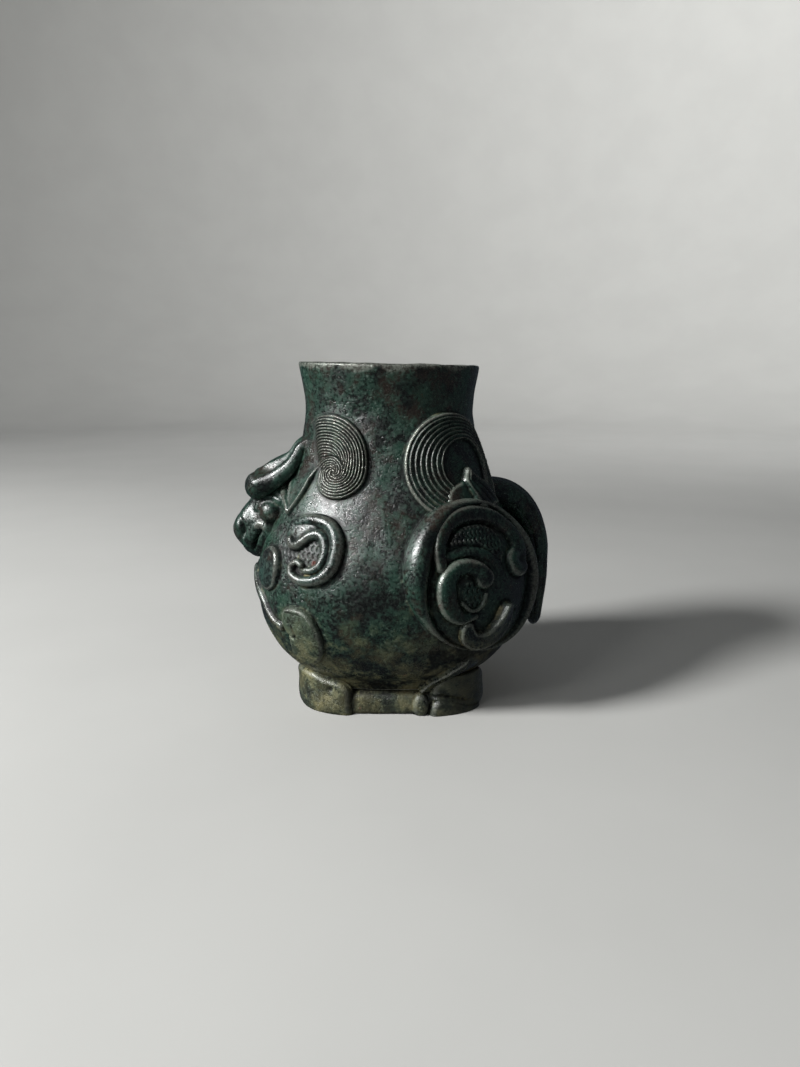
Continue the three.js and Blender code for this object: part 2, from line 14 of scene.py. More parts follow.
import bmesh
import bpy
import numpy as np
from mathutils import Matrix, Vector


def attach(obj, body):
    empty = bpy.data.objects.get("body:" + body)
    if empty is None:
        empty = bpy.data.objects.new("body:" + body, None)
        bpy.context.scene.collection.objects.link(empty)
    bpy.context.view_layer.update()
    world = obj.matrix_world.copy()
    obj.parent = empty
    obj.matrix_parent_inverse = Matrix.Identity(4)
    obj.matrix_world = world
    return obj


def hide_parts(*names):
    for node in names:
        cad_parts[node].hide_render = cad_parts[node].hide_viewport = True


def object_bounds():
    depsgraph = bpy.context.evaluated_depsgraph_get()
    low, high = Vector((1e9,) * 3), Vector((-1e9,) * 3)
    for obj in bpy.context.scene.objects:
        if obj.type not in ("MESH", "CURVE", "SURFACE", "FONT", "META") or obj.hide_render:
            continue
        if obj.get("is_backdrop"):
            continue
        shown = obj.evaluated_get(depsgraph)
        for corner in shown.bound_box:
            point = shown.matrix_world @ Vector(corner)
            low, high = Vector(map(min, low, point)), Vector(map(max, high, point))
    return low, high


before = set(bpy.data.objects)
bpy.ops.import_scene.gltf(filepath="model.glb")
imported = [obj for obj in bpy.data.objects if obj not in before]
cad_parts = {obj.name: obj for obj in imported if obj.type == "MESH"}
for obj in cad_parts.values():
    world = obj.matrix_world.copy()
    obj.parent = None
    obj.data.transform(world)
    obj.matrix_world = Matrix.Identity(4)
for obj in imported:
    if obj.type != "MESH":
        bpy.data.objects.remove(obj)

LOG = logging.getLogger("bronze_vase")
Array = np.ndarray
Mesh = bpy.types.Mesh
Points = tuple[tuple[float, float], ...]
Path = tuple[tuple[float, float, float], ...]
Spread = float | tuple[float, ...]  # one number, or numbers spread evenly along a line
Colour = tuple[float, float, float, float]

MM = 0.001
SEAM = 0.3  # joint between two pieces of metal
FAR = 9.0  # a distance that counts as clear of a shape
SUNK = 0.45  # how far a relief's edge reaches under the surface that it stands on
BEDDING = 0.9  # how far its hidden underside lies below that surface
FADED = 1.8  # depth to which the part of a relief that runs out into the wall goes down
SKIN = 0.05  # swellings on the skin of a cast ornament
RIDGE_HEIGHT = 0.32  # height over its surroundings at which a ridge counts fully, for bare metal and painted glints; as far below, a hollow counts fully, for earth and painted shade


# Numbers and curves


def ease(value: Array, low: float, high: float) -> Array:
    """Smooth step from 0 at low to 1 at high, which may be below low."""
    share = np.clip((value - low) / (high - low), 0.0, 1.0)
    return share * share * (3.0 - 2.0 * share)


def bell(distance: Array, width: float) -> Array:
    """Bell curve of height 1 that fades over a width."""
    return np.exp(-((distance / width) ** 2))


def rounded(share: Array) -> Array:
    """Quarter-round that rises from 0 at share 0 to 1 at share 1."""
    return np.sqrt(1.0 - (1.0 - np.clip(share, 0.0, 1.0)) ** 2)


def raised(height: Array) -> Array:
    """The part of a form that stands over the ground."""
    return np.clip(height, 0.0, None)


def worked(height: Array, change: Array) -> Array:
    """Changes the height of a raised form and leaves the ground around it alone."""
    return np.where(height > 0.0, height + change, height)


def fuse(first: Array, second: Array, fillet: float) -> Array:
    """Higher of two surfaces, which run into each other over the height of a fillet."""
    mix = np.clip(0.5 + 0.5 * (first - second) / fillet, 0.0, 1.0)
    return second + (first - second) * mix + fillet * mix * (1.0 - mix)


def spline(at: Array, knots: Array, values: Array) -> Array:
    """Cubic curve through values at knots; a knot's slope is the mean of its two neighbours' secants.

    Args:
        at: Places along the knots, held inside their range.
        knots: Rising numbers.
        values: One number or one point for each knot.

    Returns:
        One number or one point for each place.
    """
    knots = np.asarray(knots, float)
    values = np.asarray(values, float)
    spans = np.diff(knots).reshape((-1,) + (1,) * (values.ndim - 1))
    secants = np.diff(values, axis=0) / spans
    slopes = np.concatenate([secants[:1], 0.5 * (secants[:-1] + secants[1:]), secants[-1:]])
    at = np.clip(np.asarray(at, float), knots[0], knots[-1])
    low = np.clip(np.searchsorted(knots, at) - 1, 0, len(knots) - 2)
    span = knots[low + 1] - knots[low]
    share = (at - knots[low]) / span
    if values.ndim > 1:
        span, share = span[..., None], share[..., None]
    square, cube = share**2, share**3
    return (
        (2 * cube - 3 * square + 1) * values[low]
        + (cube - 2 * square + share) * span * slopes[low]
        + (3 * square - 2 * cube) * values[low + 1]
        + (cube - square) * span * slopes[low + 1]
    )


def curve(points: Points | Path | Array, count: int = 110, closed: bool = False) -> Array:
    """Smooth line through a few points.

    Args:
        points: Points that the line passes through.
        count: Number of places on the line.
        closed: True if the last point joins the first.

    Returns:
        Places on the line, one row each.
    """
    spots = np.asarray(points, float)
    wrap = 3 if closed else 0
    if closed:
        spots = np.concatenate([spots[-wrap:], spots, spots[: wrap + 1]])
    steps = np.sqrt(np.linalg.norm(np.diff(spots, axis=0), axis=1))
    knots = np.concatenate([[0.0], np.cumsum(steps)])
    stop = len(spots) - 1 - wrap
    return spline(np.linspace(knots[wrap], knots[stop], count), knots, spots)


def along(values: Spread, share: Array) -> Array:
    """Value at each share of a line's length."""
    if isinstance(values, (int, float)):
        return np.full_like(share, values)
    return spline(share, np.linspace(0.0, 1.0, len(values)), values)


def nearest(path: Array, p: Array, q: Array) -> tuple[Array, Array, Array]:
    """Measures flat points against a line.

    Args:
        path: Places on the line.
        p: First coordinates of the points.
        q: Second coordinates of the points.

    Returns:
        Share of the line's length, offset to the left of the line, and distance, for each point.
    """
    share = np.zeros_like(p)
    side = np.full_like(p, -FAR)
    gap = np.full_like(p, FAR)
    tangents = np.gradient(path, axis=0)
    steps = np.linalg.norm(tangents, axis=1, keepdims=True)
    tangents = tangents / steps
    last = len(path) - 1
    low, high = path.min(axis=0) - FAR, path.max(axis=0) + FAR
    inside = np.flatnonzero((p > low[0]) & (p < high[0]) & (q > low[1]) & (q < high[1]))
    for batch in np.array_split(inside, max(1, len(inside) // 20000)):
        spots = np.column_stack([p[batch], q[batch]])
        pick = np.argmin(((spots[:, None] - path[None]) ** 2).sum(axis=2), axis=1)
        reach = spots - path[pick]
        ahead = (reach * tangents[pick]).sum(axis=1)
        left = tangents[pick, 0] * reach[:, 1] - tangents[pick, 1] * reach[:, 0]
        past = ((pick == 0) & (ahead < 0)) | ((pick == last) & (ahead > 0))
        share[batch] = np.clip((pick + ahead / steps[pick, 0]) / last, 0.0, 1.0)
        side[batch] = left
        gap[batch] = np.where(past, np.hypot(reach[:, 0], reach[:, 1]), np.abs(left))
    return share, side, gap


@dataclass(frozen=True)
class Stroke:
    """A raised line, as if drawn in wax: a path, its half-width and its crown along the path.

    Attributes:
        points: Points that the middle of the line passes through.
        half_width: Half-width along the line.
        crown: Height of the middle along the line.
        fullness: Power of the section; 0.5 is a half-round and a smaller power is squarer.
        lean: How much the crown leans to the left of the line, from -1 to 1.
    """

    points: Points
    half_width: Spread
    crown: Spread
    fullness: float = 0.5
    lean: float = 0.0

    def height(self, p: Array, q: Array) -> Array:
        """Height over the ground; below 0 it is the distance to the line's edge."""
        share, side, gap = nearest(curve(self.points), p, q)
        half = along(self.half_width, share)
        section = np.clip(1.0 - (gap / half) ** 2, 0.0, 1.0) ** self.fullness
        tilt = 1.0 + self.lean * np.clip(side / half, -1.0, 1.0)
        return np.where(gap < half, along(self.crown, share) * section * tilt, half - gap)

    def groove(self, p: Array, q: Array) -> Array:
        """Depth of the line when it is cut instead of raised."""
        share, _, gap = nearest(curve(self.points), p, q)
        return along(self.crown, share) * bell(gap / along(self.half_width, share), 1.0)


@dataclass(frozen=True)
class Lobe:
    """A raised pad inside a closed outline, with a rounded edge.

    Attributes:
        points: Points of the outline, counter-clockwise.
        crown: Height of the pad.
        edge: Width of the rounded edge.
        dome: Extra height far from the edge.
    """

    points: Points
    crown: float
    edge: float
    dome: float = 0.0

    def inset(self, p: Array, q: Array) -> Array:
        """Distance inside the outline; below 0 outside it."""
        return nearest(curve(self.points, 200, closed=True), p, q)[1]

    def height(self, p: Array, q: Array) -> Array:
        """Height over the ground; below 0 it is the distance to the outline."""
        inset = self.inset(p, q)
        swell = self.dome * (1.0 - np.exp(-np.clip(inset, 0.0, FAR) / (2.0 * self.edge)))
        return np.where(inset > 0.0, self.crown * rounded(inset / self.edge) + swell, inset)


def strands(across: Array, count: int = 1) -> Array:
    """Rounded strands side by side: 0 in the grooves between them and 1 on their crests."""
    return np.sqrt(np.abs(np.sin(np.pi * count * across)) + 1e-4)


def punches(p: Array, q: Array, pitch: float) -> Array:
    """Rows of small curved punch marks, staggered from row to row.

    Args:
        p: First flat coordinates.
        q: Second flat coordinates.
        pitch: Distance between marks in a row.

    Returns:
        1 in the middle of a mark's cut and 0 between the marks.
    """
    row_pitch = 1.25 * pitch
    row = np.floor(q / row_pitch)
    v = q - (row + 0.5) * row_pitch
    shifted = p + 0.5 * pitch * (row % 2)
    u = shifted - (np.floor(shifted / pitch) + 0.5) * pitch
    ring = np.abs(np.hypot(u - 0.25 * pitch, v) - 0.42 * pitch)
    return bell(ring, 0.28) * ease(u, 0.25 * pitch, 0.0)


# The vessel's wall


@dataclass(frozen=True)
class Wall:
    """Outer wall of the vessel: a profile of half-widths and an oval plan that turns square at the foot."""

    height: float = 130.0
    bottom: float = 9.3
    heights: tuple[float, ...] = (9, 14, 19, 30, 46, 60, 74, 90, 112, 130)
    half_widths: tuple[float, ...] = (32.6, 36.3, 42.2, 49.4, 52.5, 50.4, 44.0, 36.7, 31.8, 34.0)
    foot_half_width: float = 34.8
    foot_depth_ratio: float = 0.85
    mouth_depth_ratio: float = 0.9
    foot_squareness: float = 3.3
    oval_squareness: float = 2.2
    squareness_fade: float = 12.0
    neck_lean: float = -0.7
    lean_range: tuple[float, float] = (70.0, 110.0)

    def half_width_at(self, z: Array) -> Array:
        """Half-width along X at each height."""
        return spline(z, self.heights, self.half_widths)

    def radius(self, azimuth: Array, z: Array, half_width: Array) -> Array:
        """Distance from the axis to the plan outline.

        Args:
            azimuth: Directions in radians.
            z: Heights, which set how square the plan is.
            half_width: Half-widths of the plan along X.

        Returns:
            One distance for each direction.
        """
        fade = np.exp(-z / self.squareness_fade)
        power = self.oval_squareness + (self.foot_squareness - self.oval_squareness) * fade
        ratio = self.foot_depth_ratio + (self.mouth_depth_ratio - self.foot_depth_ratio) * z / self.height
        x_part = np.abs(np.sin(azimuth)) / half_width
        y_part = np.abs(np.cos(azimuth)) / (half_width * ratio)
        return (x_part**power + y_part**power) ** (-1.0 / power)

    def lean(self, z: Array) -> Array:
        """Sideways shift of the axis at each height."""
        return self.neck_lean * ease(z, *self.lean_range)

    def place(self, azimuth: Array, z: Array, reach: Array) -> Array:
        """Points at a distance from the leaning axis, one row each."""
        return np.column_stack([reach * np.sin(azimuth) + self.lean(z), -reach * np.cos(azimuth), z])

    def plan_point(self, azimuth: Array, z: Array, half_width: Array, outset: Array) -> Array:
        """Points on the plan outline of a half-width, moved out horizontally, one row each."""
        return self.place(azimuth, z, self.radius(azimuth, z, half_width) + outset)

    def foot_point(self, azimuth: Array, z: Array, outset: Array) -> Array:
        """Points on the foot's outline, raised to their heights, one row each."""
        ground = np.zeros_like(azimuth)
        points = self.plan_point(azimuth, ground, ground + self.foot_half_width, outset)
        points[:, 2] = z
        return points

    def point(self, azimuth: Array, z: Array, lift: Array) -> Array:
        """Points over the wall, lifted along its normal.

        Args:
            azimuth: Directions in radians.
            z: Heights.
            lift: Distances outside the wall.

        Returns:
            Points, one row each.
        """
        step = 1e-3

        def at(turn: float, rise: float) -> Array:
            """Points on the wall a little to the side or above."""
            return self.plan_point(azimuth + turn, z + rise, self.half_width_at(z + rise), 0.0)

        normal = np.cross(at(step, 0.0) - at(-step, 0.0), at(0.0, step) - at(0.0, -step))
        normal /= np.linalg.norm(normal, axis=1, keepdims=True)
        return at(0.0, 0.0) + normal * lift[:, None]

    def keep_out(self, points: Array) -> Array:
        """Moves points that lie deep inside the wall back to the depth of the bedding."""
        x, y, z = points.T
        azimuth = np.arctan2(x - self.lean(z), -y)
        outer = self.radius(azimuth, z, self.half_width_at(z))
        return self.place(azimuth, z, np.maximum(np.hypot(x - self.lean(z), y), outer - BEDDING))


WALL = Wall()


class Site(ABC):
    """A place with flat coordinates in millimetres: p runs towards the tail and q runs up."""

    @abstractmethod
    def at(self, p: Array, q: Array, lift: Array) -> Array:
        """Points over the place, one row each."""


class WallSite(Site):
    """A place on the vessel's wall.

    Attributes:
        azimuth: Direction of the place in radians.
        height: Height of the place.
        arc: Millimetres along the wall for each radian.
        slope: Millimetres along the wall for each millimetre of height.
    """

    def __init__(self, degrees: float, height: float) -> None:
        """Measures the wall at an azimuth and a height."""
        step = 1e-3
        self.azimuth = math.radians(degrees)
        self.height = height
        turned = np.array([0.0, step, 0.0])
        lifted = np.array([0.0, 0.0, step])
        spots = WALL.point(self.azimuth + turned, self.height + lifted, np.zeros(3))
        self.arc = np.linalg.norm(spots[1] - spots[0]) / step
        self.slope = np.linalg.norm(spots[2] - spots[0]) / step

    def at(self, p: Array, q: Array, lift: Array) -> Array:
        """Points over the place, one row each."""
        return WALL.point(self.azimuth + p / self.arc, self.height + q / self.slope, lift)

    def flat(self, azimuth: Array, z: Array) -> tuple[Array, Array]:
        """Flat coordinates of places on the wall."""
        return (azimuth - self.azimuth) * self.arc, (z - self.height) * self.slope


class FootSite(Site):
    """A place on the upright face of the foot; q is the height over the ground."""

    def __init__(self, degrees: float) -> None:
        """Measures the foot's outline from an azimuth."""
        self.turns = np.radians(np.linspace(-135.0, 135.0, 2701))
        outline = WALL.foot_point(self.turns, 0.0, 0.0)
        steps = np.linalg.norm(np.diff(outline, axis=0), axis=1)
        lengths = np.concatenate([[0.0], np.cumsum(steps)])
        self.lengths = lengths - np.interp(math.radians(degrees), self.turns, lengths)

    def at(self, p: Array, q: Array, lift: Array) -> Array:
        """Points over the place, one row each."""
        return WALL.foot_point(np.interp(p, self.lengths, self.turns), q, lift)


# Meshes


class Slot(Enum):
    """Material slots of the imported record."""

    DARK = "dark_bronze"
    GREEN = "green_bronze"
    WORN = "worn_bronze"
    OLIVE = "olive_bronze"


class Unevenness:
    """Slight swellings of a hand-finished casting, as a sum of seeded waves."""

    def __init__(self, seed: int = 11, waves: int = 28, lengths: tuple[float, float] = (3.5, 16.0)) -> None:
        """Draws the waves' directions, lengths and phases."""
        draw = np.random.default_rng(seed)
        direction = draw.normal(size=(waves, 3))
        direction /= np.linalg.norm(direction, axis=1, keepdims=True)
        length = draw.uniform(*lengths, size=(waves, 1))
        self.vectors = direction * 2.0 * math.pi / length
        self.weights = length[:, 0] / length.sum()
        self.phases = draw.uniform(0.0, 2.0 * math.pi, size=waves)

    def at(self, points: Array) -> Array:
        """Swelling at each point, mostly between -0.5 and 0.5."""
        return np.sin(points @ self.vectors.T + self.phases) @ self.weights * math.sqrt(len(self.phases))


UNEVENNESS = Unevenness()


def read(mesh: Mesh, what: str = "co") -> Array:
    """Places or normals of a mesh's vertices, one row each."""
    flat = np.empty(len(mesh.vertices) * 3)
    mesh.vertices.foreach_get(what, flat)
    return flat.reshape(-1, 3)


def write_points(mesh: Mesh, points: Array) -> None:
    """Moves the vertices of a mesh."""
    mesh.vertices.foreach_set("co", points.ravel())
    mesh.update()


def to_mesh(name: str, form: bmesh.types.BMesh) -> Mesh:
    """Turns a bmesh into a smooth-shaded mesh and frees it."""
    mesh = bpy.data.meshes.new(name)
    form.to_mesh(mesh)
    form.free()
    mesh.shade_smooth()
    return mesh


def thicken(form: bmesh.types.BMesh, thickness: float) -> None:
    """Grows a flat sheet upwards into a closed body."""
    grown = bmesh.ops.extrude_face_region(form, geom=form.faces[:])
    upper = [item for item in grown["geom"] if isinstance(item, bmesh.types.BMVert)]
    bmesh.ops.translate(form, vec=(0.0, 0.0, thickness), verts=upper)
    bmesh.ops.recalc_face_normals(form, faces=form.faces)


def roughen(mesh: Mesh, amount: float = SKIN) -> None:
    """Gives a mesh in millimetres the uneven skin of a casting, with swellings of an amount."""
    points = read(mesh)
    write_points(mesh, points + read(mesh, "normal") * (amount * UNEVENNESS.at(points))[:, None])


def store_ridges_and_hollows(mesh: Mesh, proud: Array, crease: Array | float = 0.0) -> None:
    """Stores where a mesh stands proud, which is rubbed bare and lightened with painted glints, and where it
    lies low, which takes earth and painted shade, as the attributes "ridge" and "hollow".

    Args:
        mesh: Mesh to store them on.
        proud: How far each vertex stands over the smoothed surface, in millimetres.
        crease: Extra hollow for each vertex, from 0 to 1, which adds painted shade and some earth.
    """
    share = proud / RIDGE_HEIGHT
    ridge = np.clip(share, 0.0, 1.0)
    hollow = np.maximum(np.clip(-share, 0.0, 1.0), crease)
    for label, values in (("ridge", ridge), ("hollow", hollow)):
        layer = mesh.attributes.new(label, "FLOAT", "POINT")
        layer.data.foreach_set("value", values.astype(np.float32))


def proudness(mesh: Mesh, rounds: int = 12) -> Array:
    """How far each vertex stands over a smoothed copy of the mesh.

    Args:
        mesh: Mesh in millimetres.
        rounds: Smoothing rounds; more find broader forms.

    Returns:
        Heights, below 0 in hollows.
    """
    points = read(mesh)
    ends = np.empty(len(mesh.edges) * 2, int)
    mesh.edges.foreach_get("vertices", ends)
    first, second = ends.reshape(-1, 2).T
    count = np.bincount(ends, minlength=len(points))[:, None]
    smooth = points.copy()
    for _ in range(rounds):
        total = np.zeros_like(points)
        for axis in range(3):
            total[:, axis] += np.bincount(first, smooth[second, axis], len(points))
            total[:, axis] += np.bincount(second, smooth[first, axis], len(points))
        smooth = 0.5 * smooth + 0.5 * total / count
    return ((points - smooth) * read(mesh, "normal")).sum(axis=1)


def blurred(sheet: Array, reach: float) -> Array:
    """Smoothed copy of a sheet of heights; each pass blurs along one axis and swaps the two.

    Args:
        sheet: Heights by column and row.
        reach: Width of the blur in cells.

    Returns:
        Smoothed heights by column and row.
    """
    for _ in range(2 * round(2.0 * reach**2)):
        padded = np.pad(sheet, ((1, 1), (0, 0)), mode="edge")
        sheet = (0.25 * padded[:-2] + 0.5 * sheet + 0.25 * padded[2:]).T
    return sheet


def mirrored(mesh: Mesh, name: str) -> Mesh:
    """Copy of a mesh for the beast's other side."""
    form = bmesh.new()
    form.from_mesh(mesh)
    bmesh.ops.scale(form, vec=(1.0, -1.0, 1.0), verts=form.verts)
    bmesh.ops.reverse_faces(form, faces=form.faces)
    return to_mesh(name, form)


def spindle(name: str, around: int, length: int, surface: Callable[[Array, Array], Array]) -> Mesh:
    """Closed form whose rings shrink to a point at both ends.

    Args:
        name: Name of the mesh.
        around: Faces in a ring.
        length: Rings.
        surface: Gives points for turns, 0 to 1, and for shares along the form.

    Returns:
        Mesh in the unit of the points.
    """
    form = bmesh.new()
    bmesh.ops.create_grid(form, x_segments=around, y_segments=length, size=0.5)
    mesh = to_mesh(name, form)
    grid = read(mesh) + 0.5
    write_points(mesh, surface(grid[:, 0], grid[:, 1]))
    form = bmesh.new()
    form.from_mesh(mesh)
    bpy.data.meshes.remove(mesh)
    bmesh.ops.remove_doubles(form, verts=form.verts, dist=1e-3)
    bmesh.ops.recalc_face_normals(form, faces=form.faces)
    return to_mesh(name, form)


@dataclass
class Piece:
    """One finished piece and the CAD node that it stands for."""

    node: str
    mesh: Mesh
    slot: Slot


# Reliefs


@dataclass(frozen=True)
class Relief(ABC):
    """A cast ornament seated on a surface, as a height over flat coordinates.

    Attributes:
        node: Name of the piece without its side.
        slot: Material slot.
        site: Place that it is seated on.
        extent: Lowest and highest p, then lowest and highest q.
        pitch: Distance between two vertices.
        seat: Height of its ground over the wall.
        guests: Reliefs on the same place that are seated on this one.
    """

    node: str
    slot: Slot
    site: Site
    extent: tuple[float, float, float, float]
    pitch: float = 0.25
    seat: float = SEAM
    guests: tuple["Relief", ...] = ()

    @abstractmethod
    def height(self, p: Array, q: Array) -> Array:
        """Height over the seat at flat points; below 0 it is about the distance to the outline."""

    def build(self) -> Mesh:
        """Cuts the outline from a sheet, thickens it and presses it to its heights."""
        low_p, high_p, low_q, high_q = self.extent
        size_p, size_q = high_p - low_p, high_q - low_q
        columns, rows = round(size_p / self.pitch), round(size_q / self.pitch)

        def cell(p: Array, q: Array) -> tuple[Array, Array]:
            """Column and row of each flat point in the sheet."""
            column = np.rint((p - low_p) / size_p * columns).astype(int)
            return column, np.rint((q - low_q) / size_q * rows).astype(int)

        form = bmesh.new()
        bmesh.ops.create_grid(form, x_segments=columns, y_segments=rows, size=0.5)
        bmesh.ops.translate(form, vec=(0.5, 0.5, 0.0), verts=form.verts)
        bmesh.ops.scale(form, vec=(size_p, size_q, 1.0), verts=form.verts)
        bmesh.ops.translate(form, vec=(low_p, low_q, 0.0), verts=form.verts)
        p, q, _ = np.array([vert.co for vert in form.verts]).T
        spot = cell(p, q)
        heights = np.empty((columns + 1, rows + 1))
        heights[spot] = self.height(p, q)
        skyline = heights.copy()
        for guest in self.guests:
            skyline[spot] = np.maximum(skyline[spot], guest.height(p, q) + guest.seat - self.seat)
        self._trim(form, heights[spot])
        thicken(form, 1.0)
        mesh = to_mesh(self.node, form)
        p, q, level = read(mesh).T
        spot = cell(p, q)
        heights, skyline = np.maximum(heights, -SUNK), np.maximum(skyline, -SUNK)
        lift = np.where(level > 0.5, heights[spot], -BEDDING)
        write_points(mesh, self.site.at(p, q, self.seat + lift))
        roughen(mesh)
        near = blurred(skyline, 0.8 / self.pitch)
        wide = blurred(near, 1.8 / self.pitch)
        # painted shade, with some earth: recesses below the blurred neighbourhood and the relief's low edges
        # turn dark
        crease = np.maximum(ease(wide - heights, 0.2, 1.1), 0.8 * ease(heights, 0.35, -0.2))
        store_ridges_and_hollows(mesh, (heights - near)[spot], crease[spot])
        return mesh

    @staticmethod
    def _trim(form: bmesh.types.BMesh, heights: Array) -> None:
        """Deletes the faces of a sheet outside the outline, and any corner that hangs by a point."""
        sunk = heights < -SUNK
        form.verts.ensure_lookup_table()
        faces = [face for face in form.faces if all(sunk[vert.index] for vert in face.verts)]
        while faces:
            bmesh.ops.delete(form, geom=faces, context="FACES")
            pinched = [vert for vert in form.verts if sum(edge.is_boundary for edge in vert.link_edges) > 2]
            faces = list({face for vert in pinched for face in vert.link_faces})

    def crease(self, azimuth: Array, z: Array) -> Array:
        """Painted shade and some earth on the wall along the outline, from 0 to 1.

        Args:
            azimuth: Directions of places on the wall, in radians.
            z: Their heights.

        Returns:
            One number for each place.
        """
        dirt_and_shade = np.zeros_like(z)
        p, q = self.site.flat(azimuth, z)
        low_p, high_p, low_q, high_q = self.extent
        near = (p > low_p) & (p < high_p) & (q > low_q) & (q < high_q)
        dirt_and_shade[near] = ease(self.height(p[near], q[near]), -1.6, 0.1)
        return dirt_and_shade


@dataclass(frozen=True)
class ManeCurl(Relief):
    """Striated lock on the neck that rolls up into a whorl."""

    centre: tuple[float, float] = (1.5, -0.7)
    edge_turns: tuple[float, ...] = (
        -75, -41, -4, 25, 62, 121, 170, 225, 268, 303, 345, 390, 450, 540, 720, 1100,
    )
    edge_radii: tuple[float, ...] = (
        27.0, 24.0, 20.9, 17.6, 13.3, 10.6, 9.4, 8.4, 7.7, 7.2, 6.2, 4.6, 3.5, 2.3, 1.1, 0.3,
    )
    crown: float = 2.6
    shoulder: float = 4.2  # width of the rounded edge
    strand_pitches: tuple[float, float] = (1.2, 0.95)  # in the lock and in the whorl
    strand_depth: float = 0.85
    overlap: float = 0.8  # depth of the step where the whorl rolls over the lock
    start: Points = ((-7.0, 3.0), (-10.5, 11.0), (-13.0, 19.0))  # where the strands rise from the neck

    def height(self, p: Array, q: Array) -> Array:
        """Height over the seat at flat points."""
        reach = np.hypot(p - self.centre[0], q - self.centre[1])
        turn = np.degrees(np.arctan2(p - self.centre[0], q - self.centre[1]))
        turn = np.where(turn < self.edge_turns[0], turn + 360.0, turn)
        edges = [spline(turn + 360.0 * lap, self.edge_turns, self.edge_radii) for lap in range(3)]
        lap = sum((reach < edge).astype(int) for edge in edges[1:])
        lock, whorl = self.strand_pitches
        pitch = lock + (whorl - lock) * ease(turn + 360.0 * lap, 20.0, 150.0)
        across = (np.choose(lap, edges) - reach) / pitch
        start, levels = np.transpose(self.start)
        risen = ease(p - spline(q, levels, start), -5.0, 6.0)
        shown = np.maximum(risen, ease(reach - edges[1], 1.0, -0.2))
        inset = edges[0] - reach
        cut = self.strand_depth * np.cos(np.pi * across) ** 2 * ease(inset, 0.0, 0.8)
        step = self.overlap * bell(edges[1] - reach, 0.4) * ease(turn, 60.0, 10.0)
        body = shown * (self.crown * rounded(inset / self.shoulder) - cut - step) - FADED * (1.0 - shown)
        return np.where(inset > 0.0, body, inset)


@dataclass(frozen=True)
class RumpCurl(Relief):
    """Nested arches of hair behind the neck, each overlapping the next one in and set further back."""

    radius: float = 20.3
    edge: float = 1.2
    setback: float = 0.32
    strand_width: float = 2.0
    strand_count: int = 8
    crown: float = 1.5
    step: float = 0.75

    def height(self, p: Array, q: Array) -> Array:
        """Height over the seat at flat points."""
        inset = self.radius - np.hypot(p, q)
        squeeze = 1.0 - 2.0 * self.setback
        half = self.radius * (1.0 - self.setback) - p * self.setback
        chord = np.clip(half**2 - squeeze * (self.radius**2 - p**2 - q**2), 0.0, None)
        strand = (half - np.sqrt(chord)) / squeeze / self.strand_width
        share = strand - np.floor(strand)
        shingle = self.step * np.minimum(share / 0.1, 1.0) * (1.0 - share)
        combed = ease(strand, self.strand_count, self.strand_count - 1.0)
        dome = self.crown * rounded(inset / self.edge) * (0.45 + 0.55 * combed)
        return np.where(inset > 0.0, dome - self.step * 0.5 + shingle * combed, inset)


@dataclass(frozen=True)
class RumpTuft(Relief):
    """Small striated flame above the haunch, on a smooth base that spreads forward."""

    rib: Points = ((3.5, -0.5), (2.2, -2.8), (0.9, -5.2), (1.0, -7.6), (2.0, -11.0), (3.5, -16.3))
    front: Points = ((0.6, -5.0), (-1.3, -6.0), (-4.2, -7.2), (-6.2, -9.6), (-7.0, -13.0), (-6.0, -16.0))
    back: Points = (
        (13.0, -16.0), (12.6, -12.0), (11.8, -8.8), (10.0, -6.3), (7.6, -4.2), (5.6, -2.0), (4.6, -0.5),
    )
    base_crown: float = 2.0
    blade_crown: float = 3.3
    edge: float = 1.8

    def height(self, p: Array, q: Array) -> Array:
        """Height over the seat at flat points."""
        outline = self.rib[:2] + self.front + self.rib[-1:] + self.back
        base = Lobe(outline, self.base_crown, self.edge).height(p, q)
        blade = Lobe(self.rib + self.back, self.blade_crown, self.edge).height(p, q)
        share, side, _ = nearest(curve(self.rib), p, q)
        comb = 1.0 - strands(side / (0.7 + 1.6 * share) - 0.25)
        flame = np.where(blade > 0.3, blade - 0.5 * comb * ease(side, 0.6, 1.2), blade)
        return fuse(flame, base, 0.3)


